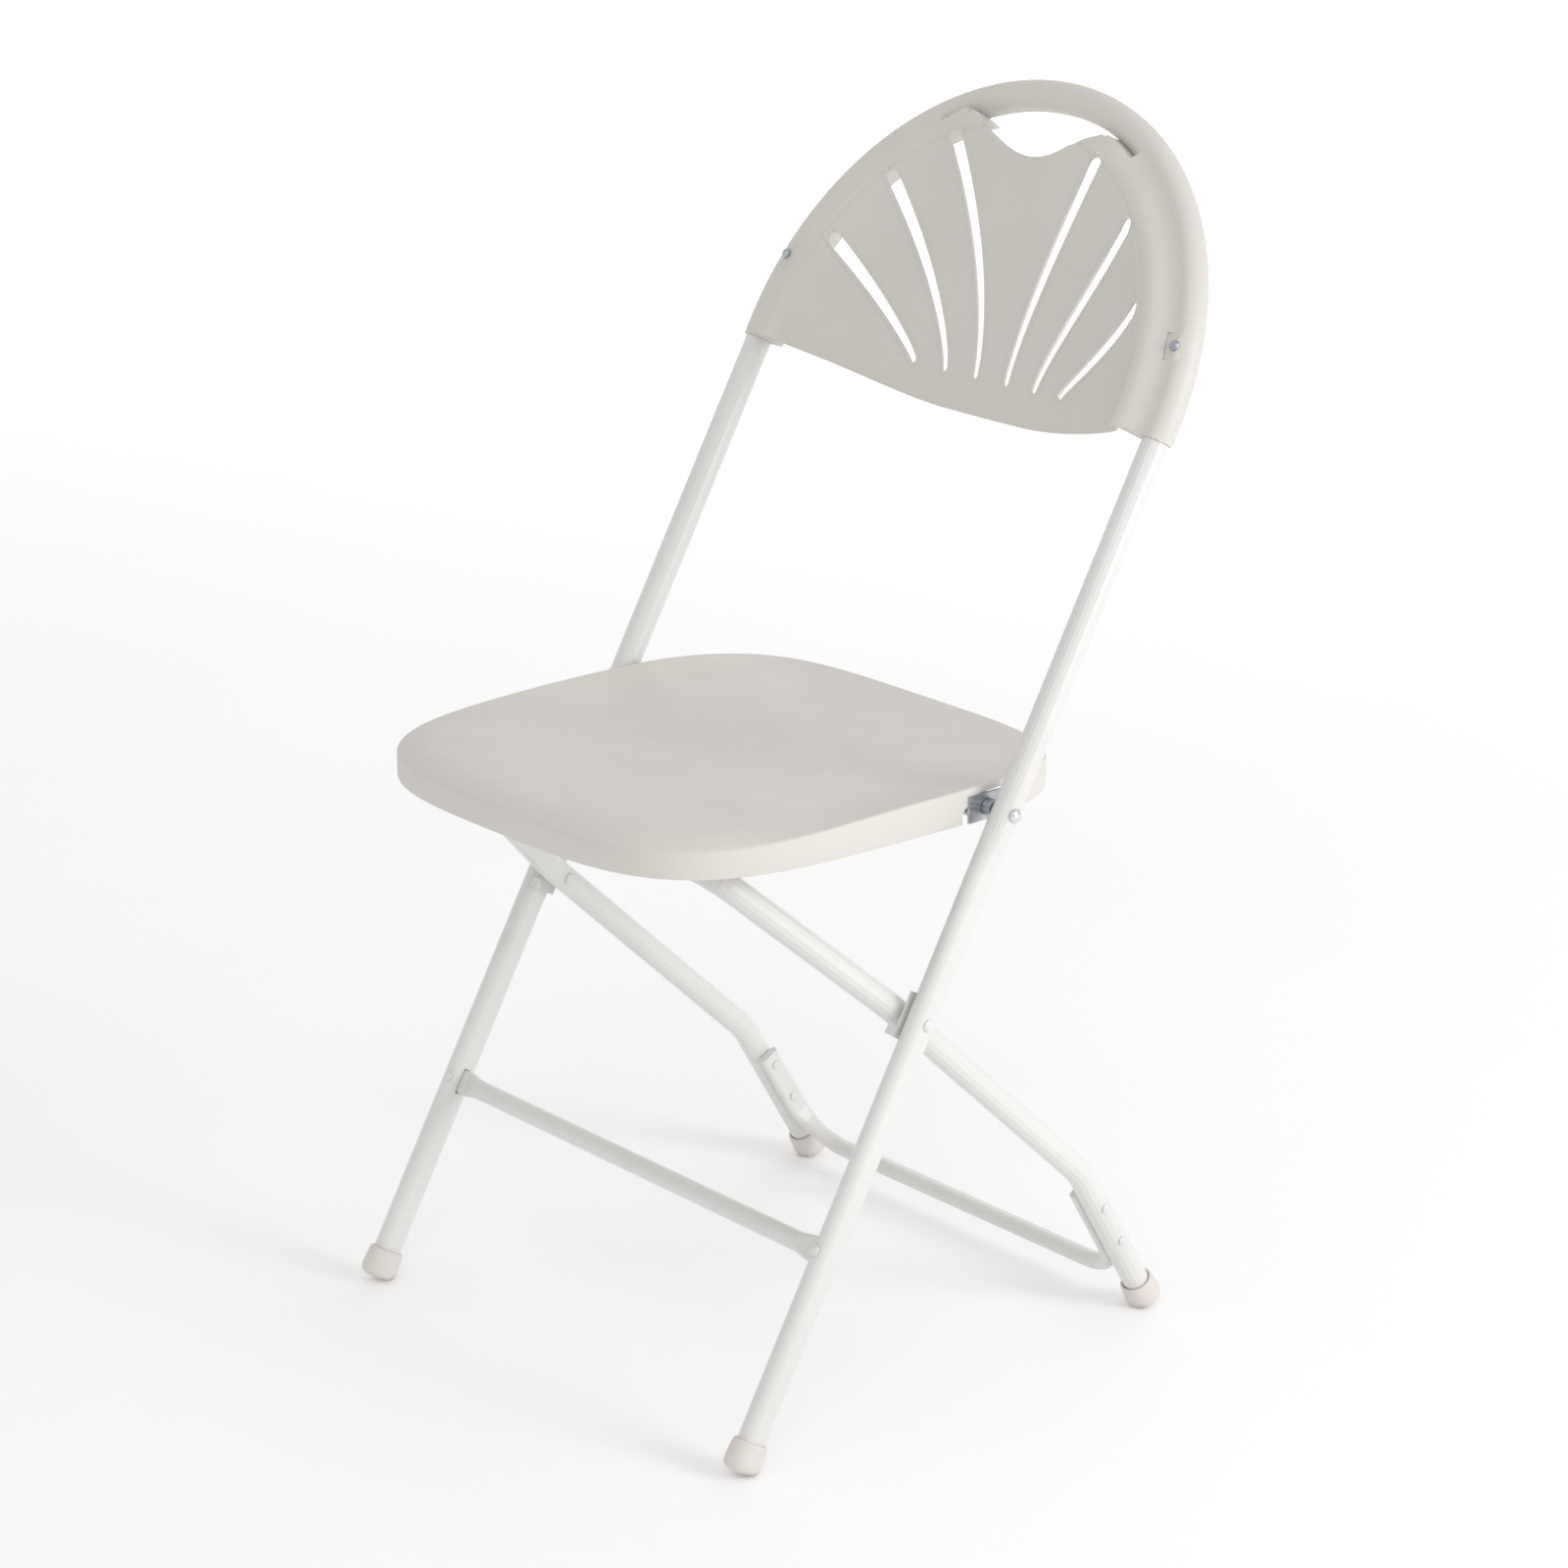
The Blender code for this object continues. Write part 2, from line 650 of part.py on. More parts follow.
def seat_screws():
    """Places of the screws under the seat: x, y and the height of the boss foot."""
    places = []
    for _, side in SIDES:
        places += [(side * RAIL_X, y, RAIL_TOP_Z + GAP) for y in RAIL_SCREW_Y]
        places += [(side * FLANGE_X, SEAT_PIVOT.y - 0.012 + y, FLANGE_TOP_Z + GAP) for y in FLANGE_SCREW_Y]
    return places


def build_seat_rails():
    """Steel channels under the seat; the top bar of the rear leg frame slides along them."""
    rails = []
    wall = 0.0018
    height = 0.0090
    half = 0.012
    length = (RAIL_REAR - RAIL_FRONT) / 2.0
    middle = (RAIL_REAR + RAIL_FRONT) / 2.0
    axes = (X_AXIS, Vector((0, 1, 0)), Vector((0, 0, 1)))
    for label, side in SIDES:
        x = side * RAIL_X
        body = (Vector((x, middle, RAIL_TOP_Z - height / 2.0)), (half, length, height / 2.0), axes)
        rail = box_tool("seat_rail_" + label, [body])
        rail.data.materials.append(ZINC)
        trough_half = (half - wall, length + 0.01, height / 2.0)
        trough = (Vector((x, middle, RAIL_TOP_Z - wall - height / 2.0)), trough_half, axes)
        stop = (Vector((x, RAIL_FRONT - wall / 2.0, RAIL_TOP_Z - 0.0075)), (half, wall / 2.0 + 0.0001, 0.0075), axes)
        boolean(rail, 'DIFFERENCE', box_tool("rail_trough_" + label, [trough]))
        boolean(rail, 'UNION', box_tool("rail_stop_" + label, [stop]))
        holes = []
        for y in RAIL_SCREW_Y:
            holes.append((Vector((x, y, 0.400)), Vector((x, y, 0.420)), SCREW_R + HOLE_GAP))
        boolean(rail, 'DIFFERENCE', pin_tool("rail_holes_" + label, holes, 12))
        rails.append(rail)
    return rails


def build_hinge_brackets():
    """Zinc-plated brackets: an ear on the pivot rivet and a flange under the seat."""
    brackets = []
    axes = (X_AXIS, Vector((0, 1, 0)), Vector((0, 0, 1)))
    thick = 0.002
    for label, side in SIDES:
        ear_mid = Vector((side * (EAR_X + thick / 2.0), SEAT_PIVOT.y, (SEAT_PIVOT_Z - 0.0090 + FLANGE_TOP_Z + 0.0115) / 2.0))
        ear_half = (thick / 2.0, 0.0165, (0.0090 + FLANGE_TOP_Z + 0.0115 - SEAT_PIVOT_Z) / 2.0)
        bracket = box_tool("seat_hinge_bracket_" + label, [(ear_mid, ear_half, axes)])
        bracket.data.materials.append(ZINC)
        inner = FLANGE_X - 0.009
        outer = EAR_X + thick * 0.5
        flange_mid = Vector((side * (inner + outer) / 2.0, SEAT_PIVOT.y, FLANGE_TOP_Z - thick / 2.0))
        flange = box_tool("bracket_flange_" + label, [(flange_mid, ((outer - inner) / 2.0, 0.0165, thick / 2.0), axes)])
        boolean(bracket, 'UNION', flange)
        clear = SEAT_PIVOT + X_AXIS * side * (EAR_X - 0.006)
        pins = [(clear, SEAT_PIVOT + X_AXIS * side * (EAR_X - GAP), 0.0062)]
        pins.append((clear, SEAT_PIVOT + X_AXIS * side * (EAR_X + 0.006), PIVOT_R + HOLE_GAP))
        for y in FLANGE_SCREW_Y:
            place = Vector((side * FLANGE_X, SEAT_PIVOT.y - 0.012 + y, FLANGE_TOP_Z))
            pins.append((place - Vector((0, 0, 0.006)), place + Vector((0, 0, 0.006)), SCREW_R + HOLE_GAP))
        for number, pin in enumerate(pins):
            boolean(bracket, 'DIFFERENCE', pin_tool("bracket_hole_%s_%d" % (label, number), [pin], 16))
        brackets.append(bracket)
    return brackets


def build_seat_screws():
    made = []
    names = []
    for label, _ in SIDES:
        names += ["rail_screw_front_" + label, "rail_screw_rear_" + label]
        names += ["bracket_screw_front_" + label, "bracket_screw_rear_" + label]
    for name, (x, y, base) in zip(names, seat_screws()):
        plate = 0.0018 if name.startswith("rail") else 0.002
        under = base - GAP - plate - GAP
        bm = bmesh.new()
        profile = [(-0.0020, 0.0020), (-0.0014, 0.0033), (0.0, 0.0036), (0.0, SCREW_R)]
        reach = base - under + SCREW_BITE
        profile += [(reach - 0.0006, SCREW_R), (reach, SCREW_R * 0.5)]
        turned(bm, Vector((x, y, under)), Vector((0, 0, 1)), profile, 14)
        made.append(finish(name, bm, ZINC))
    return made


# ---- back shell --------------------------------------------------------------------------------
RIM_FRONT = ((0.177, 0.0180), (0.182, 0.0205), (0.190, 0.0205), (0.197, 0.0160), (0.203, 0.0135),
             (0.208, 0.0120), (0.213, 0.0085), (0.216, 0.0040), (0.217, 0.0000))
RIM_BACK = ((0.177, 0.0145), (0.182, 0.0155), (0.190, -0.0105), (0.197, -0.0115), (0.203, -0.0115),
            (0.208, -0.0110), (0.213, -0.0085), (0.216, -0.0050), (0.217, -0.0030))
BAR_HALF_DEPTH = 0.0118


def profile_height(profile, radius):
    for (r0, h0), (r1, h1) in zip(profile, profile[1:]):
        if radius <= r1:
            return h0 + (h1 - h0) * (radius - r0) / (r1 - r0)
    return profile[-1][1]


def shell_front(x, s):
    dish = DISH_FLOOR + DISH_RISE * s + DISH_CURL * s * s + DISH_BOW * x * x + DISH_WING * x ** 4
    rim_radius = math.hypot(x, max(s, 0.0))
    if rim_radius <= DISH_R:
        share = max(0.0, (rim_radius - DISH_TURN) / (DISH_R - DISH_TURN))
        return dish + (DISH_RIM - dish) * share
    return profile_height(RIM_FRONT, rim_radius)


def shell_back(x, s):
    rim_radius = math.hypot(x, max(s, 0.0))
    if rim_radius <= DISH_R:
        return shell_front(x, s) - PLASTIC
    return profile_height(RIM_BACK, rim_radius)


def lower_edge(x):
    return SHELL_LOW + (SHELL_SAG - SHELL_LOW) * (1.0 - smooth_step(abs(x), 0.040, 0.165))


def build_back_shell():
    radii = [0.035, 0.070, 0.105, 0.130, 0.152, DISH_TURN] + [r for r, _ in RIM_FRONT]
    turns = 40
    rows = 3
    bm = bmesh.new()

    def vertex_grid(height):
        """Rays of the half disc, then the straight strip below it."""
        centre = bm.verts.new(on_frame(0.0, ARCH_START, height(0.0, 0.0)))
        rays = []
        for j in range(turns + 1):
            angle = math.pi * j / turns
            ray = [centre]
            for r in radii:
                x = r * math.cos(angle)
                s = r * math.sin(angle)
                ray.append(bm.verts.new(on_frame(x, ARCH_START + s, height(x, s))))
            rays.append(ray)
        line = list(reversed(rays[0][1:])) + rays[-1]
        strip = [line]
        spots = [r for r in reversed(radii)] + [0.0] + [-r for r in radii]
        for row in range(1, rows + 1):
            verts = []
            for x in spots:
                s = lower_edge(x) * row / rows
                verts.append(bm.verts.new(on_frame(x, ARCH_START + s, height(x, s))))
            strip.append(verts)
        for a, b in zip(rays, rays[1:]):
            bm.faces.new((a[0], a[1], b[1]))
            for i in range(1, len(radii)):
                bm.faces.new((a[i], a[i + 1], b[i + 1], b[i]))
        for a, b in zip(strip, strip[1:]):
            for i in range(len(spots) - 1):
                bm.faces.new((a[i], a[i + 1], b[i + 1], b[i]))
        rim = [ray[-1] for ray in rays]
        left_side = [row[-1] for row in strip[1:]]
        bottom = list(reversed(strip[-1][:-1]))
        right_side = [row[0] for row in reversed(strip[1:-1])]
        return rim + left_side + bottom + right_side

    bridge(bm, vertex_grid(shell_front), vertex_grid(shell_back))
    shell = finish("back_shell", bm, BACK_PLASTIC)
    boolean(shell, 'DIFFERENCE', tube_tunnel())
    boolean(shell, 'DIFFERENCE', shell_openings())
    pockets = []
    pins = []
    for _, side in SIDES:
        place = screw_place(side)
        round_dir = (place - on_frame(0.0, ARCH_START)).normalized()
        pocket_half = (0.0065, 0.0100, 0.0100)
        pockets.append((place + OUT * (POCKET_FLOOR + 0.0100), pocket_half, (round_dir, OUT.cross(round_dir), OUT)))
        pins.append((place + OUT * 0.006, place + OUT * 0.016, SCREW_R + HOLE_GAP))
    boolean(shell, 'DIFFERENCE', box_tool("shell_pockets", pockets))
    boolean(shell, 'DIFFERENCE', pin_tool("shell_pilots", pins))


POCKET_FLOOR = 0.0112


def tube_tunnel():
    """Room for the frame tube inside the rim."""
    radius = TUBE_R + GAP
    points = [on_frame(HALF_WIDTH, ARCH_START - 0.05)]
    points += arch_points(HALF_WIDTH, ARCH_START, 20)
    points.append(on_frame(-HALF_WIDTH, ARCH_START - 0.05))
    bm = bar_mesh(points, X_AXIS, [(radius, radius)] * len(points), 20)
    return finish("tube_tunnel", bm, None)


# slot: foot and tip of its centreline on the panel, from the centre of the arch
SLOTS = (((0.0160, 0.0063), (0.0705, 0.1590), 1.60),
         ((0.0463, 0.0058), (0.1196, 0.1213), 1.31),
         ((0.0762, 0.0056), (0.1535, 0.0673), 1.12))
SLOT_TIP_HALF = 0.0042
SLOT_FOOT_HALF = 0.0022


def slot_outline(foot, tip, bow, side):
    steps = 7
    spine = []
    for k in range(steps + 1):
        u = k / steps
        x = foot[0] + (tip[0] - foot[0]) * u ** bow
        s = foot[1] + (tip[1] - foot[1]) * u
        spine.append(Vector((side * x, s)))
    left = []
    right = []
    for k, point in enumerate(spine):
        ahead = spine[min(k + 1, steps)] - spine[max(k - 1, 0)]
        normal = Vector((-ahead.y, ahead.x)).normalized()
        half = SLOT_FOOT_HALF + (SLOT_TIP_HALF - SLOT_FOOT_HALF) * k / steps
        left.append(point + normal * half)
        right.append(point - normal * half)
    end_dir = (spine[-1] - spine[-2]).normalized()
    cap = []
    for k in range(1, 5):
        angle = math.pi * k / 5.0
        normal = Vector((-end_dir.y, end_dir.x))
        cap.append(spine[-1] + (normal * math.cos(angle) + end_dir * math.sin(angle)) * SLOT_TIP_HALF)
    return left + cap + list(reversed(right))


def handle_outline():
    steps = 14
    outline = []
    for k in range(steps + 1):
        x = -HANDLE_HALF + 2.0 * HANDLE_HALF * k / steps
        outline.append(Vector((x, math.sqrt(HANDLE_R ** 2 - x ** 2))))
    corner = outline[0].y
    for k in range(steps - 1, 0, -1):
        x = -HANDLE_HALF + 2.0 * HANDLE_HALF * k / steps
        outline.append(Vector((x, SCALLOP + (corner - SCALLOP) * (x / HANDLE_HALF) ** 2)))
    return outline


def shell_openings():
    """Cutter for the six slots and the hand hole."""
    outlines = [slot_outline(*slot, side) for slot in SLOTS for _, side in SIDES]
    outlines.append(handle_outline())
    bm = bmesh.new()
    for outline in outlines:
        near = [bm.verts.new(on_frame(p.x, ARCH_START + p.y, 0.06)) for p in outline]
        far = [bm.verts.new(on_frame(p.x, ARCH_START + p.y, -0.06)) for p in outline]
        bridge(bm, near, far)
        bm.faces.new(near)
        bm.faces.new(far)
    return finish("shell_openings", bm, None)


def build_back_screws():
    for label, side in SIDES:
        bm = bmesh.new()
        base = screw_place(side) + OUT * (POCKET_FLOOR + GAP)
        profile = [(-0.0024, 0.0022), (-0.0016, 0.0035), (0.0, 0.0038), (0.0, SCREW_R)]
        profile += [(0.0085, SCREW_R), (0.0095, SCREW_R * 0.4)]
        turned(bm, base, -OUT, profile, 16)
        finish("back_screw_" + label, bm, ZINC)


# ---- assembly -------------------------------------------------------------------------------------
def main():
    build_frame_tube()
    build_front_brace()
    build_brace_rivets()
    build_seat_pivots()
    build_cross_pivots()
    build_back_shell()
    build_back_screws()
    for label, side in SIDES:
        foot = on_frame(side * HALF_WIDTH, 0.0)
        build_foot_cap("front_foot_cap_" + label, foot, ALONG, FLAT_THIN, FLAT_WIDE, 0.027, CAP_RUBBER)

    leg_axis = axis_empty("leg_fold_axis", CROSS_PIVOT)
    legs = [build_rear_frame()]
    legs += build_rear_brace()
    for label, side in SIDES:
        foot = rear_point(side, 0.0)
        cap = build_foot_cap("rear_foot_cap_" + label, foot, -REAR_DOWN, TUBE_R, TUBE_R, 0.027, CAP_RUBBER)
        legs.append(cap)
    hang_on(leg_axis, *legs)

    seat_axis = axis_empty("seat_fold_axis", SEAT_PIVOT)
    pieces = [build_seat()]
    pieces += build_seat_rails()
    pieces += build_hinge_brackets()
    pieces += build_seat_screws()
    hang_on(seat_axis, *pieces)


main()
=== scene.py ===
"""Looks for the fan-back folding chair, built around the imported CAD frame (metres)."""

import json
import math

import bmesh
import bpy
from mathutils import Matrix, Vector
from mathutils.geometry import delaunay_2d_cdt


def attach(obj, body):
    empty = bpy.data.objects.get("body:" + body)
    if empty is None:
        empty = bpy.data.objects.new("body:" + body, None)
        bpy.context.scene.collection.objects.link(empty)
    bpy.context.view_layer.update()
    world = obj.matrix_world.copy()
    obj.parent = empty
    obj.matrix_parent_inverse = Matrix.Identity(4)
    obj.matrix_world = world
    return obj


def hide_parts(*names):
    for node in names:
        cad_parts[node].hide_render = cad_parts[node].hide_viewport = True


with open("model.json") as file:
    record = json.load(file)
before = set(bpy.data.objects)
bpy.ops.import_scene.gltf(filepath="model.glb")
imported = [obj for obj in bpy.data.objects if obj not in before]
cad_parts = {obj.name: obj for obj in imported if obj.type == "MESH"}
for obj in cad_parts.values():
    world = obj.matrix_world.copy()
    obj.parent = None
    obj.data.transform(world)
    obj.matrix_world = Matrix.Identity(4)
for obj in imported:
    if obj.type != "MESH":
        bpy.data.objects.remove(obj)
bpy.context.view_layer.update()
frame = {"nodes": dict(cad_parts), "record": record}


# ---- node helpers -----------------------------------------------------------------
class Graph:
    """Short way to build a node material: every call adds a node and links its inputs."""

    def __init__(self, name):
        self.mat = bpy.data.materials.new(name)
        self.mat.use_nodes = True
        self.tree = self.mat.node_tree
        self.shader = self.tree.nodes["Principled BSDF"]
        coords = self.tree.nodes.new("ShaderNodeTexCoord")
        self.place = coords.outputs["Object"]

    def feed(self, socket, value):
        if hasattr(value, "is_linked"):
            self.tree.links.new(value, socket)
        elif value is not None:
            socket.default_value = value

    def scaled(self, factors):
        node = self.tree.nodes.new("ShaderNodeMapping")
        self.feed(node.inputs["Vector"], self.place)
        node.inputs["Scale"].default_value = factors
        return node.outputs["Vector"]

    def noise(self, scale, detail=3.0, rough=0.5, where=None):
        node = self.tree.nodes.new("ShaderNodeTexNoise")
        self.feed(node.inputs["Vector"], where or self.place)
        node.inputs["Scale"].default_value = scale
        node.inputs["Detail"].default_value = detail
        node.inputs["Roughness"].default_value = rough
        return node.outputs["Fac"]

    def remap(self, value, low, high, to_low, to_high):
        node = self.tree.nodes.new("ShaderNodeMapRange")
        node.interpolation_type = 'SMOOTHSTEP'
        self.feed(node.inputs["Value"], value)
        node.inputs["From Min"].default_value = low
        node.inputs["From Max"].default_value = high
        node.inputs["To Min"].default_value = to_low
        node.inputs["To Max"].default_value = to_high
        return node.outputs["Result"]

    def math(self, operation, a, b=None):
        node = self.tree.nodes.new("ShaderNodeMath")
        node.operation = operation
        self.feed(node.inputs[0], a)
        self.feed(node.inputs[1], b)
        return node.outputs[0]

    def mix(self, factor, a, b):
        node = self.tree.nodes.new("ShaderNodeMix")
        node.data_type = 'RGBA'
        self.feed(node.inputs["Factor"], factor)
        self.feed(node.inputs["A"], a)
        self.feed(node.inputs["B"], b)
        return node.outputs["Result"]

    def edges(self):
        """1 on outside edges, 0 elsewhere."""
        node = self.tree.nodes.new("ShaderNodeNewGeometry")
        return self.remap(node.outputs["Pointiness"], 0.52, 0.60, 0.0, 1.0)

    def bump(self, height, distance, strength=1.0):
        node = self.tree.nodes.new("ShaderNodeBump")
        self.feed(node.inputs["Height"], height)
        node.inputs["Distance"].default_value = distance
        node.inputs["Strength"].default_value = strength
        self.feed(self.shader.inputs["Normal"], node.outputs["Normal"])


def rgba(r, g, b):
    return (r, g, b, 1.0)


# ---- materials ---------------------------------------------------------------------
def moulded_plastic(name, base, worn, grain_scale, grain_depth, rough_low, rough_high):
    """Moulded plastic: fine spark-eroded grain, faint flow mottling, cleaner worn edges."""
    g = Graph(name)
    cloud = g.remap(g.noise(9.0, 4.0, 0.6), 0.35, 0.65, 0.0, 1.0)
    tint = g.mix(cloud, rgba(*base), rgba(*[c * 0.965 for c in base]))
    g.feed(g.shader.inputs["Base Color"], g.mix(g.edges(), tint, rgba(*worn)))
    grain = g.noise(grain_scale, 2.0, 0.55)
    scuffs = g.noise(420.0, 3.0, 0.6, g.scaled((1.0, 0.12, 1.0)))
    patch = g.math('ADD', g.math('MULTIPLY', g.noise(24.0), 0.6), g.math('MULTIPLY', scuffs, 0.4))
    g.feed(g.shader.inputs["Roughness"], g.remap(patch, 0.35, 0.65, rough_low, rough_high))
    g.shader.inputs["Specular IOR Level"].default_value = 0.42
    g.bump(g.math('ADD', grain, g.math('MULTIPLY', g.noise(60.0), 0.8)), grain_depth, 0.6)
    return g.mat


def powder_coat():
    """White powder coat on tube: fine orange peel and faint clouds of tone."""
    g = Graph("white_powder_coat")
    cloud = g.remap(g.noise(6.0, 3.0), 0.3, 0.7, 0.0, 1.0)
    tint = g.mix(cloud, rgba(0.725, 0.715, 0.70), rgba(0.69, 0.68, 0.665))
    g.feed(g.shader.inputs["Base Color"], tint)
    peel = g.noise(520.0, 2.0, 0.5)
    speck = g.remap(g.noise(1900.0, 1.0), 0.62, 0.80, 0.0, 1.0)
    g.feed(g.shader.inputs["Roughness"], g.remap(g.noise(35.0), 0.3, 0.7, 0.27, 0.38))
    g.shader.inputs["Coat Weight"].default_value = 0.25
    g.shader.inputs["Coat Roughness"].default_value = 0.20
    g.bump(g.math('ADD', peel, g.math('MULTIPLY', speck, 0.4)), 0.00006, 0.7)
    return g.mat


def chrome():
    """Bright plated rivet head with faint drawn-out handling marks."""
    g = Graph("bright_chrome")
    tint = g.mix(g.noise(300.0), rgba(0.80, 0.80, 0.81), rgba(0.68, 0.69, 0.70))
    g.feed(g.shader.inputs["Base Color"], tint)
    g.shader.inputs["Metallic"].default_value = 1.0
    marks = g.noise(900.0, 3.0, 0.6, g.scaled((1.0, 0.2, 1.0)))
    g.feed(g.shader.inputs["Roughness"], g.remap(marks, 0.4, 0.7, 0.08, 0.24))
    g.bump(marks, 0.00002, 0.5)
    return g.mat


def zinc_plate():
    """Bright zinc: blue-grey with cloudy spangle and drawing lines."""
    g = Graph("zinc_plate")
    spangle = g.remap(g.noise(140.0, 4.0, 0.6), 0.35, 0.65, 0.0, 1.0)
    tint = g.mix(spangle, rgba(0.56, 0.58, 0.61), rgba(0.42, 0.44, 0.47))
    g.feed(g.shader.inputs["Base Color"], tint)
    g.shader.inputs["Metallic"].default_value = 1.0
    lines = g.noise(700.0, 3.0, 0.6, g.scaled((1.0, 0.06, 1.0)))
    g.feed(g.shader.inputs["Roughness"], g.remap(lines, 0.3, 0.7, 0.24, 0.42))
    g.bump(lines, 0.00003, 0.5)
    return g.mat


def cap_plastic():
    """Foot caps: soft vinyl, a little pinker than the frame, scuffed, and darker in patches within 7 mm of
    the floor.
    """
    g = Graph("foot_cap_vinyl")
    xyz = g.tree.nodes.new("ShaderNodeSeparateXYZ")
    g.feed(xyz.inputs["Vector"], g.place)
    near_floor = g.remap(xyz.outputs["Z"], 0.0, 0.007, 1.0, 0.0)
    # the cap is painted darker in noise patches over its lowest 7 mm, next to the floor
    darker_near_floor = g.math('MULTIPLY', near_floor, g.remap(g.noise(330.0, 4.0, 0.7), 0.35, 0.62, 0.0, 1.0))
    tint = g.mix(g.noise(70.0), rgba(0.70, 0.655, 0.625), rgba(0.66, 0.615, 0.585))
    g.feed(g.shader.inputs["Base Color"], g.mix(darker_near_floor, tint, rgba(0.42, 0.39, 0.36)))
    g.feed(g.shader.inputs["Roughness"], g.remap(g.noise(120.0, 4.0), 0.3, 0.7, 0.5, 0.72))
    g.bump(g.noise(650.0, 3.0, 0.6), 0.00012, 0.6)
    return g.mat


MATERIALS = {
    "white_powder_coat": powder_coat(),
    "seat_plastic": moulded_plastic("seat_plastic", (0.655, 0.633, 0.592), (0.72, 0.70, 0.66),
                                    1500.0, 0.00009, 0.46, 0.6),
    "back_plastic": moulded_plastic("back_plastic", (0.655, 0.630, 0.585), (0.72, 0.70, 0.655),
                                    1700.0, 0.00007, 0.40, 0.54),
    "foot_cap_plastic": cap_plastic(),
    "chrome": chrome(),
    "zinc_plate": zinc_plate(),
}


def dress_cad():
    """Every CAD node gets its detailed material."""
    slots = {entry["node"]: entry["material_slot"] for entry in frame["record"]["subparts"]}
    for node, obj in frame["nodes"].items():
        obj.data.materials.clear()
        obj.data.materials.append(MATERIALS[slots[node]])


# ---- dimensions shared with the frame -------------------------------------------------
HALF_WIDTH = 0.2055
LEAN = math.radians(29.6)
FOOT_Y = -0.2257             # where the front tube's centreline meets the floor
ARCH_START = 0.756           # along the tube: centre of the back loop
TUBE_R = 0.0095
FLAT_THIN = 0.0075
FLAT_WIDE = 0.0106
SEAT_PIVOT_Z = 0.413
CROSS_PIVOT_Z = 0.282
BRACE_Z = 0.138
REAR_HALF = 0.183
REAR_TAN = 1.066             # slope of a rear leg above its bend
FOOT_TAN = 0.590             # and below it
BEND_Z = 0.121
GAP = 0.0003

SHELL_CREASE = 42.0          # degrees from which an edge shades sharp
SMALL_CREASE = 50.0
PLATE_CREASE = 30.0

X_AXIS = Vector((1.0, 0.0, 0.0))
UP = Vector((0.0, 0.0, 1.0))
ALONG = Vector((0.0, math.sin(LEAN), math.cos(LEAN)))
OUT = Vector((0.0, -math.cos(LEAN), math.sin(LEAN)))
SIDES = (("left", 1.0), ("right", -1.0))


def on_frame(x, along, out=0.0):
    """Point in the leaning plane of the front tube, or this far out in front of it."""
    return Vector((x, FOOT_Y, 0.0)) + ALONG * along + OUT * out


def at_height(height):
    return on_frame(0.0, height / math.cos(LEAN))


def rear_point(side, height):
    """Point on a rear leg's centreline, from the floor up to its bend."""
    cross_y = at_height(CROSS_PIVOT_Z).y
    bend_y = cross_y + (CROSS_PIVOT_Z - BEND_Z) * REAR_TAN
    y = bend_y + (BEND_Z - height) * FOOT_TAN
    return Vector((side * REAR_HALF, y, height))


REAR_UP = (rear_point(1, BEND_Z) - rear_point(1, 0.0)).normalized()


def smooth_step(value, low, high):
    t = min(1.0, max(0.0, (value - low) / (high - low)))
    return t * t * (3.0 - 2.0 * t)


# ---- mesh helpers -------------------------------------------------------------------
def finish_mesh(name, bm, slot, body, nodes, angle):
    """A new piece in place of CAD nodes, with its slot's material."""
    bmesh.ops.recalc_face_normals(bm, faces=bm.faces[:])
    mesh = bpy.data.meshes.new(name)
    bm.to_mesh(mesh)
    bm.free()
    mesh.shade_smooth()
    mesh.set_sharp_from_angle(angle=math.radians(angle))
    mesh.materials.append(MATERIALS[slot])
    obj = bpy.data.objects.new(name, mesh)
    bpy.context.scene.collection.objects.link(obj)
    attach(obj, body)
    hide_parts(*nodes)
    return obj


def bridge(bm, ring_a, ring_b):
    count = len(ring_a)
    for k in range(count):
        n = (k + 1) % count
        bm.faces.new((ring_a[k], ring_a[n], ring_b[n], ring_b[k]))


def turned(bm, base, axis, profile, sides):
    """Turned solid: profile gives (distance along axis, radius) from end to end."""
    axis = axis.normalized()
    side = axis.orthogonal().normalized()
    other = axis.cross(side)
    rings = []
    for distance, radius in profile:
        ring = []
        for k in range(sides):
            angle = 2.0 * math.pi * k / sides
            offset = side * math.cos(angle) + other * math.sin(angle)
            ring.append(bm.verts.new(base + axis * distance + offset * radius))
        rings.append(ring)
    for a, b in zip(rings, rings[1:]):
        bridge(bm, a, b)
    bm.faces.new(rings[0])
    bm.faces.new(rings[-1])


def cut_now(target, operation, build):
    """Boolean with a throwaway tool mesh, applied at once."""
    bm = bmesh.new()
    build(bm)
    bmesh.ops.recalc_face_normals(bm, faces=bm.faces[:])
    mesh = bpy.data.meshes.new("tool")
    bm.to_mesh(mesh)
    bm.free()
    tool = bpy.data.objects.new("tool", mesh)
    bpy.context.scene.collection.objects.link(tool)
    modifier = target.modifiers.new("cut", 'BOOLEAN')
    modifier.operation = operation
    modifier.object = tool
    modifier.solver = 'EXACT'
    graph = bpy.context.evaluated_depsgraph_get()
    result = bpy.data.meshes.new_from_object(target.evaluated_get(graph))
    target.modifiers.clear()
    target.data = result
    bpy.data.objects.remove(tool, do_unlink=True)


BOX_FACES = ((0, 1, 3, 2), (4, 6, 7, 5), (0, 4, 5, 1), (2, 3, 7, 6), (0, 2, 6, 4), (1, 5, 7, 3))


def box_into(bm, centre, half, axes):
    corners = []
    for i in (-1, 1):
        for j in (-1, 1):
            for k in (-1, 1):
                offset = axes[0] * half[0] * i + axes[1] * half[1] * j + axes[2] * half[2] * k
                corners.append(bm.verts.new(centre + offset))
    for face in BOX_FACES:
        bm.faces.new([corners[n] for n in face])


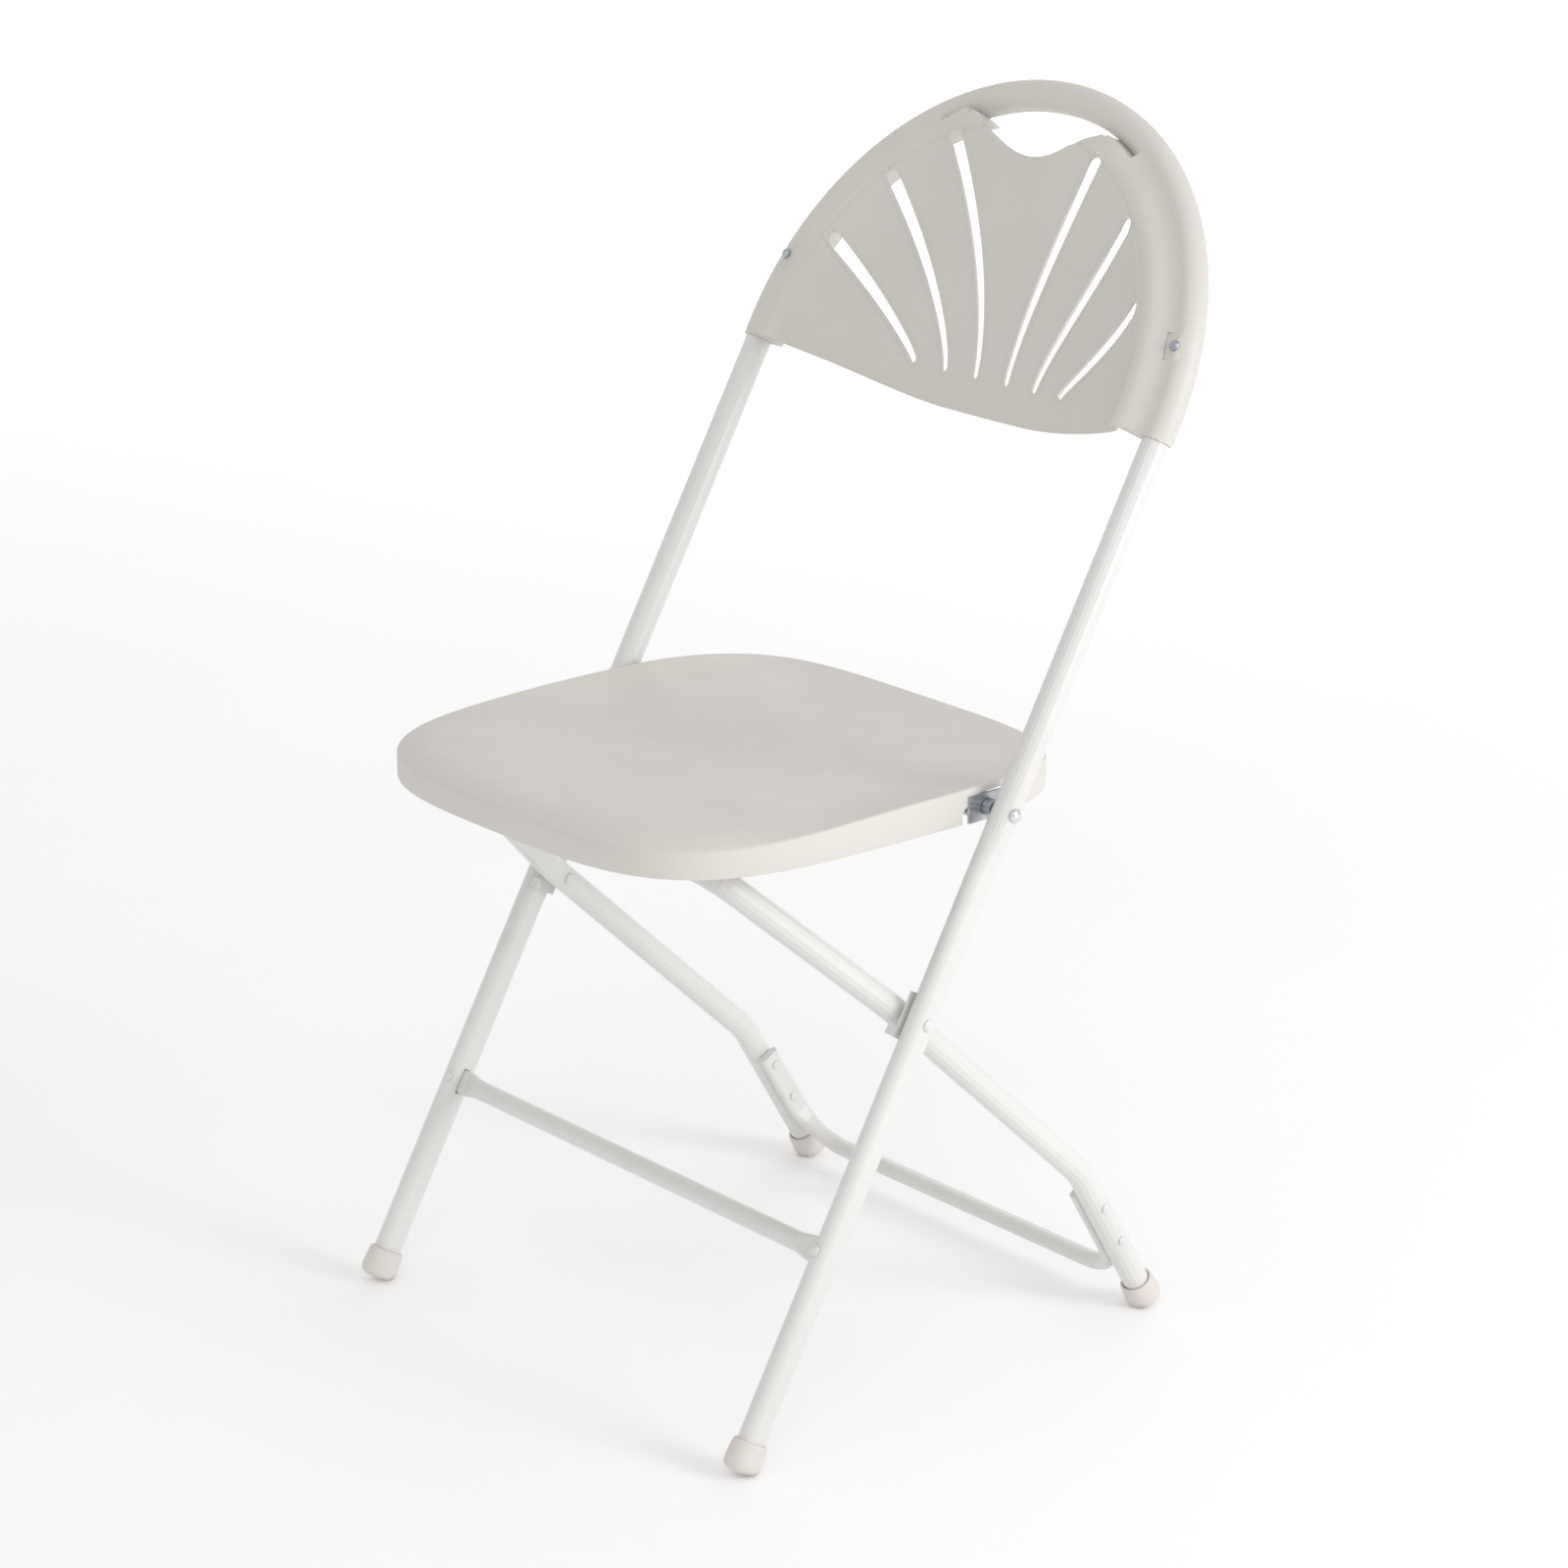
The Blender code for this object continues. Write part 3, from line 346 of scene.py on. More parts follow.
# ---- back shell: one height for the front and one for the back at each place ------------
SHELL_R = 0.21696
DISH_TURN = 0.171            # the dish turns up into the band from here
DISH_R = 0.177
DISH_FLOOR = -0.0365
DISH_RISE = 0.227
DISH_CURL = 0.577
DISH_BOW = 0.811
DISH_WING = 24.2
DISH_RIM = 0.018
WRAP_R = 0.0115              # shell around the tube
LOOP_R = 0.2055
BAND_END = 0.207             # the front follows the wrap from here out
CREST_R = 0.187              # the lobes keep the band's height at this radius
HANDLE_R = 0.195             # upper edge of the hand hole
HANDLE_EDGE = HANDLE_R - 0.0006
HANDLE_HALF = 0.0695
SCALLOP = 0.1565             # lowest point of the hand hole
NOTCH = math.radians(29.3)   # band ends here, from straight up
NOTCH_END = math.radians(29.9)
NOTCH_LEAD = 0.1             # radians before the notch where the rear starts to change
LOBE_FADE = math.radians(21.0)
LOW_SIDE = -0.0140           # lower edge of the shell at the sides
LOW_MIDDLE = -0.0210         # and at the middle
SAG_INNER = 0.040
SAG_OUTER = 0.165
WALL = 0.0025
EDGE_ROUND = 0.0008
# each slot: foot (x, s), tip (x, s), bow
SLOTS = (((0.0160, 0.0063), (0.0705, 0.1590), 1.60),
         ((0.0463, 0.0058), (0.1196, 0.1213), 1.31),
         ((0.0762, 0.0056), (0.1535, 0.0673), 1.12))
SLOT_TIP = 0.0053
SLOT_FOOT = 0.0026
SLOT_STEPS = 22
LIP_REACH = 0.0024
LIP_RISE = 0.0009

# (radius from the loop's centre, height out of the tube's plane): front band, rear face
BAND = ((0.177, 0.0180), (0.179, 0.0197), (0.181, 0.0201), (0.185, 0.0196), (0.189, 0.0179),
        (0.193, 0.0155), (0.197, 0.0133), (0.201, 0.0117), (0.204, 0.0112), (0.207, 0.0112))
BACK = ((0.177, 0.0150), (0.181, 0.0166), (0.1835, 0.0160), (0.1855, 0.0060), (0.1875, -0.0085),
        (0.190, -0.0108), (0.194, -0.0114), (0.2055, -0.0115))


def along_table(table, value):
    for (r0, h0), (r1, h1) in zip(table, table[1:]):
        if value <= r1:
            t = (value - r0) / (r1 - r0)
            return h0 + (h1 - h0) * t
    return table[-1][1]


def wrap_height(radius):
    return math.sqrt(max(0.0, WRAP_R ** 2 - (radius - LOOP_R) ** 2))


def front_height(x, s):
    band_r = math.hypot(x, max(s, 0.0))
    if band_r <= DISH_R:
        dish = DISH_FLOOR + DISH_RISE * s + DISH_CURL * s * s + DISH_BOW * x * x + DISH_WING * x ** 4
        return dish + (DISH_RIM - dish) * max(0.0, (band_r - DISH_TURN) / (DISH_R - DISH_TURN))
    side = wrap_height(band_r) if band_r > BAND_END else along_table(BAND, band_r)
    turn = math.atan2(abs(x), max(s, 1e-6))
    if turn >= NOTCH_END:
        return side
    if band_r < HANDLE_EDGE:
        crest = along_table(BAND, min(band_r, CREST_R))
        return crest + (side - crest) * smooth_step(turn, LOBE_FADE, NOTCH)
    top = wrap_height(band_r)
    return top + (side - top) * smooth_step(turn, NOTCH, NOTCH_END)


def back_height(x, s):
    band_r = math.hypot(x, max(s, 0.0))
    if band_r <= DISH_R:
        return front_height(x, s) - WALL
    if band_r > LOOP_R:
        return -wrap_height(band_r)
    turn = math.atan2(abs(x), max(s, 1e-6))
    side = along_table(BACK, band_r)
    if band_r > HANDLE_EDGE:
        top = -wrap_height(band_r)
        return top + (side - top) * smooth_step(turn, NOTCH - NOTCH_LEAD, NOTCH_END)
    return side


def lower_edge(x):
    return LOW_SIDE + (LOW_MIDDLE - LOW_SIDE) * (1.0 - smooth_step(abs(x), SAG_INNER, SAG_OUTER))


def round_end(centre, direction, half, count):
    """Half circle over the end of a slot."""
    normal = Vector((-direction.y, direction.x))
    points = []
    for k in range(1, count):
        angle = math.pi * k / count
        points.append(centre + (normal * math.cos(angle) + direction * math.sin(angle)) * half)
    return points


def slot_outline(foot, tip, bow, side, grow):
    """Curved slot, round at its tip and narrow at its foot, grown by an even margin."""
    spine = []
    for k in range(SLOT_STEPS + 1):
        u = k / SLOT_STEPS
        x = foot[0] + (tip[0] - foot[0]) * u ** bow
        spine.append(Vector((side * x, foot[1] + (tip[1] - foot[1]) * u)))
    left = []
    right = []
    for k, point in enumerate(spine):
        ahead = spine[min(k + 1, SLOT_STEPS)] - spine[max(k - 1, 0)]
        normal = Vector((-ahead.y, ahead.x)).normalized()
        half = SLOT_FOOT + (SLOT_TIP - SLOT_FOOT) * k / SLOT_STEPS + grow
        left.append(point + normal * half)
        right.append(point - normal * half)
    tip_cap = round_end(spine[-1], (spine[-1] - spine[-2]).normalized(), SLOT_TIP + grow, 9)
    foot_cap = round_end(spine[0], (spine[0] - spine[1]).normalized(), SLOT_FOOT + grow, 6)
    return left + tip_cap + list(reversed(right)) + foot_cap


def scallop(x):
    """Lower edge of the hand hole."""
    corner = math.sqrt(HANDLE_R ** 2 - HANDLE_HALF ** 2)
    share = 0.5 - 0.5 * math.cos(math.pi * min(1.0, abs(x) / HANDLE_HALF))
    return SCALLOP + (corner - SCALLOP) * (0.45 * share + 0.55 * (x / HANDLE_HALF) ** 2)


def handle_outline():
    steps = 32
    xs = [-HANDLE_HALF + 2.0 * HANDLE_HALF * k / steps for k in range(steps + 1)]
    arc = [Vector((x, math.sqrt(HANDLE_R ** 2 - x ** 2))) for x in xs]
    low = [Vector((x, scallop(x))) for x in reversed(xs[1:-1])]
    return arc + low


def rounded(distance):
    """How far a moulded edge falls away, this far in from the cut."""
    if distance >= EDGE_ROUND:
        return 0.0
    return EDGE_ROUND - math.sqrt(EDGE_ROUND ** 2 - (EDGE_ROUND - distance) ** 2)


RING_RADII = (0.1655, 0.1690, 0.1705, 0.172, 0.1745, 0.177, 0.1788, 0.1805, 0.182, 0.1835, 0.1855,
              0.1875, 0.190, 0.1925, 0.1943, 0.1950, 0.1965, 0.199, 0.2015, 0.204, 0.207, 0.2095,
              0.212, 0.214, 0.2155, 0.2163, 0.2167)
SIDE_STEPS = (-0.003, -0.006, -0.009, -0.0125)      # down the straight sides below the loop
# distances from a slot's edge of the rings of points round it
LIP_RINGS = (0.0003, 0.0008, LIP_REACH - 0.0004, LIP_REACH, LIP_REACH + 0.0005, 0.0045)
SLOT_MARGIN = 0.0065         # the even filling keeps this far from a slot
PITCH = 0.0052               # between the points of the filling
ROW = 0.866                  # of the pitch, between two rows
FILL_LOW = -0.019
FILL_HIGH = 0.20
FILL_R = 0.1630


class Layout:
    """Places on the shell: (x, s, front drop, back drop), and the outlines among them."""

    def __init__(self):
        self.places = []
        self.loops = []

    def add(self, x, s, front=0.0, back=0.0):
        self.places.append((x, s, front, back))
        return len(self.places) - 1

    def band(self, turns):
        """Rings over the band, left out where the hand hole is."""
        gap = math.asin(HANDLE_HALF / HANDLE_R)
        for r in RING_RADII:
            for turn in turns:
                x = r * math.cos(turn)
                s = r * math.sin(turn)
                if r < HANDLE_R and abs(x) < HANDLE_HALF + 0.001 and s > scallop(x) - 0.0012:
                    continue
                if abs(r - HANDLE_R) < 1e-6 and abs(turn - math.pi / 2.0) < gap + 0.012:
                    continue
                self.add(x, s)
            for s in SIDE_STEPS:
                for side in (-1.0, 1.0):
                    self.add(side * r, s)

    def border(self, turns):
        """Over the loop, down one side, along the lower edge and up the other side."""
        outer = [self.add(SHELL_R * math.cos(t), SHELL_R * math.sin(t)) for t in turns]
        outer += [self.add(-SHELL_R, s) for s in (-0.005, -0.010)]
        xs = [-SHELL_R + 2.0 * SHELL_R * k / 130 for k in range(131)]
        outer += [self.add(x, lower_edge(x), rounded(0.0), -rounded(0.0)) for x in xs]
        outer += [self.add(SHELL_R, s) for s in (-0.010, -0.005)]
        self.loops.append(outer)
        for inset in (0.0003, 0.0008):
            for x in xs[1:-1]:
                self.add(x, lower_edge(x) + inset, rounded(inset), -rounded(inset))

    def hand_hole(self):
        outline = handle_outline()
        self.loops.append([self.add(p.x, p.y, 0.0006, -0.0006) for p in outline])
        for inset in (0.0003, 0.0009, 0.0030):
            for p in outline:
                if p.y < math.sqrt(HANDLE_R ** 2 - p.x ** 2) - 0.0004:
                    self.add(p.x, p.y - inset, rounded(inset), -rounded(inset))

    def slot(self, slot, side):
        """One slot with its raised lip."""
        rim = slot_outline(*slot, side, 0.0)
        self.loops.append([self.add(p.x, p.y, rounded(0.0) - LIP_RISE, -rounded(0.0)) for p in rim])
        for grow in LIP_RINGS:
            rise = LIP_RISE * (1.0 - smooth_step(grow, LIP_REACH - 0.0003, LIP_REACH + 0.0004))
            for p in slot_outline(*slot, side, grow):
                if p.y > lower_edge(p.x) + 0.001:
                    self.add(p.x, p.y, rounded(grow) - rise, -rounded(grow))

    def filling(self):
        """Even rows of points over the rest of the dish."""
        margins = [slot_outline(*slot, side, SLOT_MARGIN) for slot in SLOTS for _, side in SIDES]
        for row in range(int(FILL_HIGH / (PITCH * ROW)) + 1):
            s = FILL_LOW + row * PITCH * ROW
            for column in range(-34, 35):
                x = (column + 0.5 * (row % 2)) * PITCH
                inside = math.hypot(x, max(s, 0.0)) < FILL_R and s > lower_edge(x) + 0.0032
                if not inside or (abs(x) < HANDLE_HALF and s > scallop(x) - 0.0055):
                    continue
                if not any(inside_loop(x, s, loop) for loop in margins):
                    self.add(x, s)


def shell_layout():
    turns = [math.pi * k / 150 for k in range(151)]
    for mark in (NOTCH, NOTCH_END):
        turns += [math.pi / 2.0 - mark, math.pi / 2.0 + mark]
    turns = sorted(turns)
    layout = Layout()
    layout.band(turns)
    layout.border(turns)
    layout.hand_hole()
    for slot in SLOTS:
        for _, side in SIDES:
            layout.slot(slot, side)
    layout.filling()
    return layout.places, layout.loops


def inside_loop(x, y, loop):
    inside = False
    last = loop[-1]
    for point in loop:
        if (point.y > y) != (last.y > y):
            if x < (last.x - point.x) * (y - point.y) / (last.y - point.y) + point.x:
                inside = not inside
        last = point
    return inside


def join_faces(bm, front, back, faces):
    """Front and back faces, and walls along every edge that only one face has."""
    count = {}
    for face in faces:
        bm.faces.new([front[i] for i in face])
        bm.faces.new([back[i] for i in reversed(face)])
        for k in range(3):
            pair = (face[k], face[(k + 1) % 3])
            key = tuple(sorted(pair))
            count[key] = None if key in count else pair
    for pair in count.values():
        if pair:
            bm.faces.new((front[pair[1]], front[pair[0]], back[pair[0]], back[pair[1]]))


def build_back_shell():
    places, loops = shell_layout()
    flat = [Vector((x, s)) for x, s, _, _ in places]
    edges = [(loop[k], loop[(k + 1) % len(loop)]) for loop in loops for k in range(len(loop))]
    points, _, faces, origin, _, _ = delaunay_2d_cdt(flat, edges, [], 0, 1e-6)
    outlines = [[flat[i] for i in loop] for loop in loops]

    def in_plastic(face):
        middle = (points[face[0]] + points[face[1]] + points[face[2]]) / 3.0
        within = [inside_loop(middle.x, middle.y, outline) for outline in outlines]
        return within[0] and not any(within[1:])

    bm = bmesh.new()
    front = []
    back = []
    for point, sources in zip(points, origin):
        x, s, drop, lift = places[sources[0]] if sources else (point.x, point.y, 0.0, 0.0)
        front.append(bm.verts.new(on_frame(x, ARCH_START + s, front_height(x, s) - drop)))
        back.append(bm.verts.new(on_frame(x, ARCH_START + s, back_height(x, s) - lift)))
    join_faces(bm, front, back, [face for face in faces if in_plastic(face)])
    loose = [v for v in bm.verts if not v.link_faces]
    bmesh.ops.delete(bm, geom=loose, context='VERTS')
    shell = finish_mesh("moulded_back", bm, "back_plastic", "frame", ["back_shell"], SHELL_CREASE)
    cut_now(shell, 'DIFFERENCE', tunnel)
    cut_now(shell, 'DIFFERENCE', screw_pockets)
    cut_now(shell, 'DIFFERENCE', screw_holes)


TUNNEL_REACH = 0.06          # how far the cut goes down past the loop's ends


def tunnel(bm):
    """Room for the tube, open at both lower ends."""
    radius = TUBE_R + GAP
    sides = 28
    turns = 60
    centres = [(on_frame(HALF_WIDTH, ARCH_START - TUNNEL_REACH), X_AXIS)]
    for k in range(turns + 1):
        angle = math.pi * k / turns
        ray = X_AXIS * math.cos(angle) + ALONG * math.sin(angle)
        centres.append((on_frame(0.0, ARCH_START) + ray * HALF_WIDTH, ray))
    centres.append((on_frame(-HALF_WIDTH, ARCH_START - TUNNEL_REACH), -X_AXIS))
    rings = []
    for centre, ray in centres:
        ring = []
        for k in range(sides):
            angle = 2.0 * math.pi * k / sides
            ring.append(bm.verts.new(centre + (ray * math.cos(angle) + OUT * math.sin(angle)) * radius))
        rings.append(ring)
    for a, b in zip(rings, rings[1:]):
        bridge(bm, a, b)
    bm.faces.new(rings[0])
    bm.faces.new(rings[-1])


SCREW_TURN = math.radians(14.0)
POCKET_FLOOR = 0.0112
POCKET_HALF = (0.0062, 0.0098, 0.010)
POCKET_SHIFT = 0.0015        # towards the loop's centre
HOLE_START = 0.0075
HOLE_R = 0.0022


def screw_place(side):
    x = side * HALF_WIDTH * math.cos(SCREW_TURN)
    return on_frame(x, ARCH_START + HALF_WIDTH * math.sin(SCREW_TURN))


def screw_pockets(bm):
    for _, side in SIDES:
        place = screw_place(side)
        ray = (place - on_frame(0.0, ARCH_START)).normalized()
        centre = place + OUT * (POCKET_FLOOR + POCKET_HALF[2]) - ray * POCKET_SHIFT
        box_into(bm, centre, POCKET_HALF, (ray, OUT.cross(ray), OUT))


def screw_holes(bm):
    for _, side in SIDES:
        turned(bm, screw_place(side) + OUT * HOLE_START, OUT, [(0.0, HOLE_R), (0.007, HOLE_R)], 16)


# ---- seat ---------------------------------------------------------------------------
SEAT_HALF = 0.187
SEAT_FRONT = -0.2605
SEAT_REAR = 0.1193
SEAT_TOP = 0.430
SEAT_PAN = 0.4202
LIP_Z = 0.423
SIDE_RIM = 0.4285
REAR_RIM = 0.4255
SKIRT_FRONT = 0.4050
SKIRT_REAR = 0.4035
SEAT_WALL = 0.0035
SEAT_SIDES = 200
SEAT_RINGS = (0.168, 0.150, 0.132, 0.115, 0.100, 0.086, 0.074, 0.064, 0.055, 0.047, 0.040, 0.033,
              0.027, 0.021, 0.016, 0.012, 0.008, 0.005, 0.003, 0.0018)
UNDER_RINGS = SEAT_RINGS[:-3]


def seat_outline(angle, inset):
    """Rounded square, its rear corners tighter, drawn in by an even inset."""
    middle = (SEAT_FRONT + SEAT_REAR) / 2.0
    deep = (SEAT_REAR - SEAT_FRONT) / 2.0 - inset
    c = math.cos(angle)
    s = math.sin(angle)
    power = 3.6 + 0.6 * smooth_step(s, -0.15, 0.15)
    reach = (abs(c) ** power + abs(s) ** power) ** (-1.0 / power)
    return (SEAT_HALF - inset) * c * reach, middle + deep * s * reach


def seat_height(y, inset):
    """Level front behind a rolled lip, and a pan inside raised side and rear rims."""
    rim = LIP_Z + (SIDE_RIM - LIP_Z) * smooth_step(y, SEAT_FRONT, -0.040)
    rim += (REAR_RIM - SIDE_RIM) * smooth_step(y, 0.0, SEAT_REAR)
    middle = SEAT_TOP + (SEAT_PAN - SEAT_TOP) * smooth_step(y, -0.215, -0.055)
    roll = 0.024 + 0.036 * smooth_step(y, -0.200, -0.080)
    return middle + (rim - middle) * max(0.0, 1.0 - inset / roll) ** 2


def skirt_foot(y):
    return SKIRT_FRONT + (SKIRT_REAR - SKIRT_FRONT) * smooth_step(y, SEAT_FRONT, 0.0)


def seat_ring(bm, inset, height):
    made = []
    for k in range(SEAT_SIDES):
        x, y = seat_outline(2.0 * math.pi * k / SEAT_SIDES, inset)
        made.append(bm.verts.new((x, y, height(y, inset))))
    return made


def close_middle(bm, first, drop):
    y = (SEAT_FRONT + SEAT_REAR) / 2.0
    centre = bm.verts.new((0.0, y, seat_height(y, SEAT_HALF) - drop))
    for k in range(SEAT_SIDES):
        bm.faces.new((centre, first[k], first[(k + 1) % SEAT_SIDES]))


def skirt_rings(bm):
    """Round the top edge, down the skirt, round its foot and up inside to the underside."""
    rings = []
    for inset, fall in ((0.0009, 0.0003), (0.0003, 0.0009), (0.0, 0.0018)):
        rings.append(seat_ring(bm, inset, lambda y, d, f=fall: seat_height(y, d) - f))
    foot = ((0.0, 0.0012), (0.0003, 0.0003), (0.0009, 0.0), (SEAT_WALL - 0.0008, 0.0), (SEAT_WALL, 0.0008))
    for inset, lift in foot:
        rings.append(seat_ring(bm, inset, lambda y, d, f=lift: skirt_foot(y) + f))
    inner = SEAT_WALL + 0.0006
    rings.append(seat_ring(bm, inner, lambda y, d: seat_height(y, d) - SEAT_WALL - 0.001))
    return rings


def build_seat():
    bm = bmesh.new()
    top = [seat_ring(bm, inset, seat_height) for inset in SEAT_RINGS]
    close_middle(bm, top[0], 0.0)
    wall = skirt_rings(bm)
    under = []
    for inset in reversed(UNDER_RINGS):
        under.append(seat_ring(bm, inset, lambda y, d: seat_height(y, d) - SEAT_WALL))
    rings = top + wall + under
    for a, b in zip(rings, rings[1:]):
        bridge(bm, a, b)
    close_middle(bm, under[-1], SEAT_WALL)
    seat = finish_mesh("moulded_seat", bm, "seat_plastic", "seat", ["seat_shell"], SHELL_CREASE)
    cut_now(seat, 'UNION', seat_bosses)
    cut_now(seat, 'DIFFERENCE', side_cuts)


RAIL_X = 0.085
RAIL_SCREW_Y = (-0.172, -0.037)
FLANGE_X = 0.166
RAIL_TOP = 0.4160
FLANGE_TOP = 0.4115


FLANGE_STEP = 0.012          # bracket screws, before and behind the pivot
BOSS_FOOT = 0.0055           # radii of a screw boss at its two ends
BOSS_ROOT = 0.0060
BOSS_SINK = 0.0018           # the boss ends this far below the seat's top face


def boss(bm, x, y, foot, inset):
    """Round boss from above a screwed-on part up into the seat."""
    height = seat_height(y, inset) - BOSS_SINK - foot
    turned(bm, Vector((x, y, foot + GAP)), UP, [(0.0, BOSS_FOOT), (height, BOSS_ROOT)], 24)


def seat_bosses(bm):
    pivot = at_height(SEAT_PIVOT_Z)
    for _, side in SIDES:
        for y in RAIL_SCREW_Y:
            boss(bm, side * RAIL_X, y, RAIL_TOP, 0.08)
        for step in (-FLANGE_STEP, FLANGE_STEP):
            boss(bm, side * FLANGE_X, pivot.y + step, FLANGE_TOP, 0.02)


SIDE_CUT = ((-0.0215, 0.390), (-0.0215, 0.4115), (-0.0195, 0.4140), (-0.0070, 0.4225),
            (-0.0030, 0.4235), (0.0250, 0.4235), (0.0285, 0.4200), (0.0285, 0.390))
SIDE_CUT_X = (0.1755, 0.1995)


def side_cuts(bm):
    """Opening in each side wall for the hinge bracket, its front edge sloping back."""
    pivot = at_height(SEAT_PIVOT_Z)
    for _, side in SIDES:
        inner, outer = [[bm.verts.new((side * x, pivot.y + y, z)) for y, z in SIDE_CUT]
                        for x in SIDE_CUT_X]
        bridge(bm, inner, outer)
        bm.faces.new(inner)
        bm.faces.new(outer)


# ---- feet, rivets and stop plates ---------------------------------------------------------
def section(centre, thin_dir, wide_dir, thin, wide, sides):
    """Outline of a flattened tube: two half circles and two straight sides."""
    points = []
    for k in range(sides):
        angle = 2.0 * math.pi * (k + 0.5) / sides
        stretch = math.copysign(wide - thin, math.sin(angle))
        offset = thin_dir * thin * math.cos(angle) + wide_dir * (thin * math.sin(angle) + stretch)
        points.append(centre + offset)
    return points


CAP_END = 0.0040             # the cap's round end, up the leg from the floor point
# (up the leg from the cap's end, out from the tube's surface): bullet end, side, mouth, inside
CAP_PROFILE = ((0.0, -0.0060), (0.0002, -0.0030), (0.0008, -0.0006), (0.0018, 0.0012),
               (0.0034, 0.0025), (0.0055, 0.0032), (0.0082, 0.0034), (0.0120, 0.0031),
               (0.0190, 0.0026), (0.0205, 0.00235), (0.0213, 0.0019), (0.0217, 0.0012),
               (0.0215, 0.0006), (0.0208, 0.00035), (0.0130, 0.0003))
CAP_SIDES = 48


def build_cap(name, node, body, foot, up, thin, wide):
    """Moulded cap: rolled mouth, slight taper, bullet end worn level where it stands."""
    wide_dir = up.cross(X_AXIS).normalized()
    bm = bmesh.new()
    rings = []
    for along, grow in CAP_PROFILE:
        ring = section(foot + up * (CAP_END + along), X_AXIS, wide_dir, thin + grow, wide + grow, CAP_SIDES)
        rings.append([bm.verts.new((p.x, p.y, max(0.0, p.z))) for p in ring])
    for low, high in zip(rings, rings[1:]):
        bridge(bm, low, high)
    bm.faces.new(rings[0])
    bm.faces.new(rings[-1])
    finish_mesh(name, bm, "foot_cap_plastic", body, [node], SMALL_CREASE)


# (share of the dome's height, share of the head's radius), from the tail to the shank
RIVET_TAIL = ((-0.62, 0.12), (-0.60, 0.50), (-0.42, 0.80), (-0.12, 0.95), (0.0, 0.90))


def dome(head, height, shank, length):
    """Half profile of a domed rivet from its tail end to the top of its dome."""
    profile = [(height * along, head * out) for along, out in RIVET_TAIL]
    profile += [(0.0001, shank), (length, shank), (length + 0.0001, head)]
    for k in range(9):
        angle = math.radians(6.0 + 78.0 * k / 8.0)
        profile.append((length + height * math.sin(angle) + 0.0002, head * math.cos(angle)))
    return profile


def build_rivet(name, node, body, slot, ends, head, height, shank):
    start, end = ends
    bm = bmesh.new()
    turned(bm, start, end - start, dome(head, height, shank, (end - start).length), 36)
    finish_mesh(name, bm, slot, body, [node], SMALL_CREASE)


PIVOT_INNER = 0.186          # the seat pivot's rivet reaches this far in
BRACE_RIVET_X = 0.204
ARM_INNER = 0.166
ARM_RIVETS = (("lower", 0.0615), ("upper", 0.091))


def build_rivets():
    """Domed rivets: seat pivot, leg crossing, front brace and the rear brace's arms."""
    seat_pivot = at_height(SEAT_PIVOT_Z)
    cross_pivot = at_height(CROSS_PIVOT_Z)
    brace_along = BRACE_Z / math.cos(LEAN)
    for label, side in SIDES:
        x = X_AXIS * side
        ends = (seat_pivot + x * (PIVOT_INNER - GAP), seat_pivot + x * (HALF_WIDTH + TUBE_R))
        build_rivet("pivot_head_" + label, "seat_pivot_rivet_" + label, "frame", "chrome",
                    ends, 0.0049, 0.0026, 0.003)
        ends = (cross_pivot + x * (REAR_HALF - TUBE_R - GAP), cross_pivot + x * (HALF_WIDTH + FLAT_THIN))
        build_rivet("cross_head_" + label, "cross_pivot_rivet_" + label, "frame", "white_powder_coat",
                    ends, 0.0042, 0.0018, 0.003)
        place = on_frame(side * BRACE_RIVET_X, brace_along)
        ends = (place - OUT * (FLAT_WIDE + GAP), place + OUT * FLAT_WIDE)
        build_rivet("brace_head_" + label, "front_brace_rivet_" + label, "frame", "white_powder_coat",
                    ends, 0.0038, 0.0016, 0.002)
        for level, height in ARM_RIVETS:
            middle = rear_point(side, height)
            ends = (Vector((side * ARM_INNER, middle.y, middle.z)),
                    Vector((side * (REAR_HALF + TUBE_R), middle.y, middle.z)))
            build_rivet("arm_head_%s_%s" % (level, label), "rear_brace_rivet_%s_%s" % (level, label),
                        "rear_legs", "white_powder_coat", ends, 0.0034, 0.0013, 0.002)


PLATE_HALF = (0.0009, 0.0165, 0.0103)
TAB_HALF = (0.0040, 0.0035, 0.0009)
SPACER_R = 0.0068
SPACER_LONG = 0.0030


def build_stops():
    """Thin stop plate between the front tube and the rear leg, with its spacer boss and lug."""
    place = at_height(CROSS_PIVOT_Z)
    outer = HALF_WIDTH - FLAT_THIN - GAP
    for label, side in SIDES:
        x = X_AXIS * side
        bm = bmesh.new()
        middle = place + x * (outer - PLATE_HALF[0]) + ALONG * 0.001
        box_into(bm, middle, PLATE_HALF, (x, ALONG, OUT))
        spacer = [(0.0, SPACER_R), (SPACER_LONG, SPACER_R)]
        turned(bm, place + x * (REAR_HALF + TUBE_R + GAP), x, spacer, 32)
        tab = place + x * (outer - TAB_HALF[0]) + OUT * 0.0112 - ALONG * 0.0115
        box_into(bm, tab, TAB_HALF, (x, ALONG, OUT))
        finish_mesh("stop_plate_" + label, bm, "white_powder_coat", "frame",
                    ["stop_bracket_" + label], PLATE_CREASE)


def build_caps():
    for label, side in SIDES:
        build_cap("front_cap_" + label, "front_foot_cap_" + label, "frame",
                  on_frame(side * HALF_WIDTH, 0.0), ALONG, FLAT_THIN, FLAT_WIDE)
        build_cap("rear_cap_" + label, "rear_foot_cap_" + label, "rear_legs",
                  rear_point(side, 0.0), REAR_UP, TUBE_R, TUBE_R)


# ---- set ---------------------------------------------------------------------------
FLOOR_GLOW = 0.13            # lifts the paper towards the photo's white
WORLD_LIGHT = 0.77


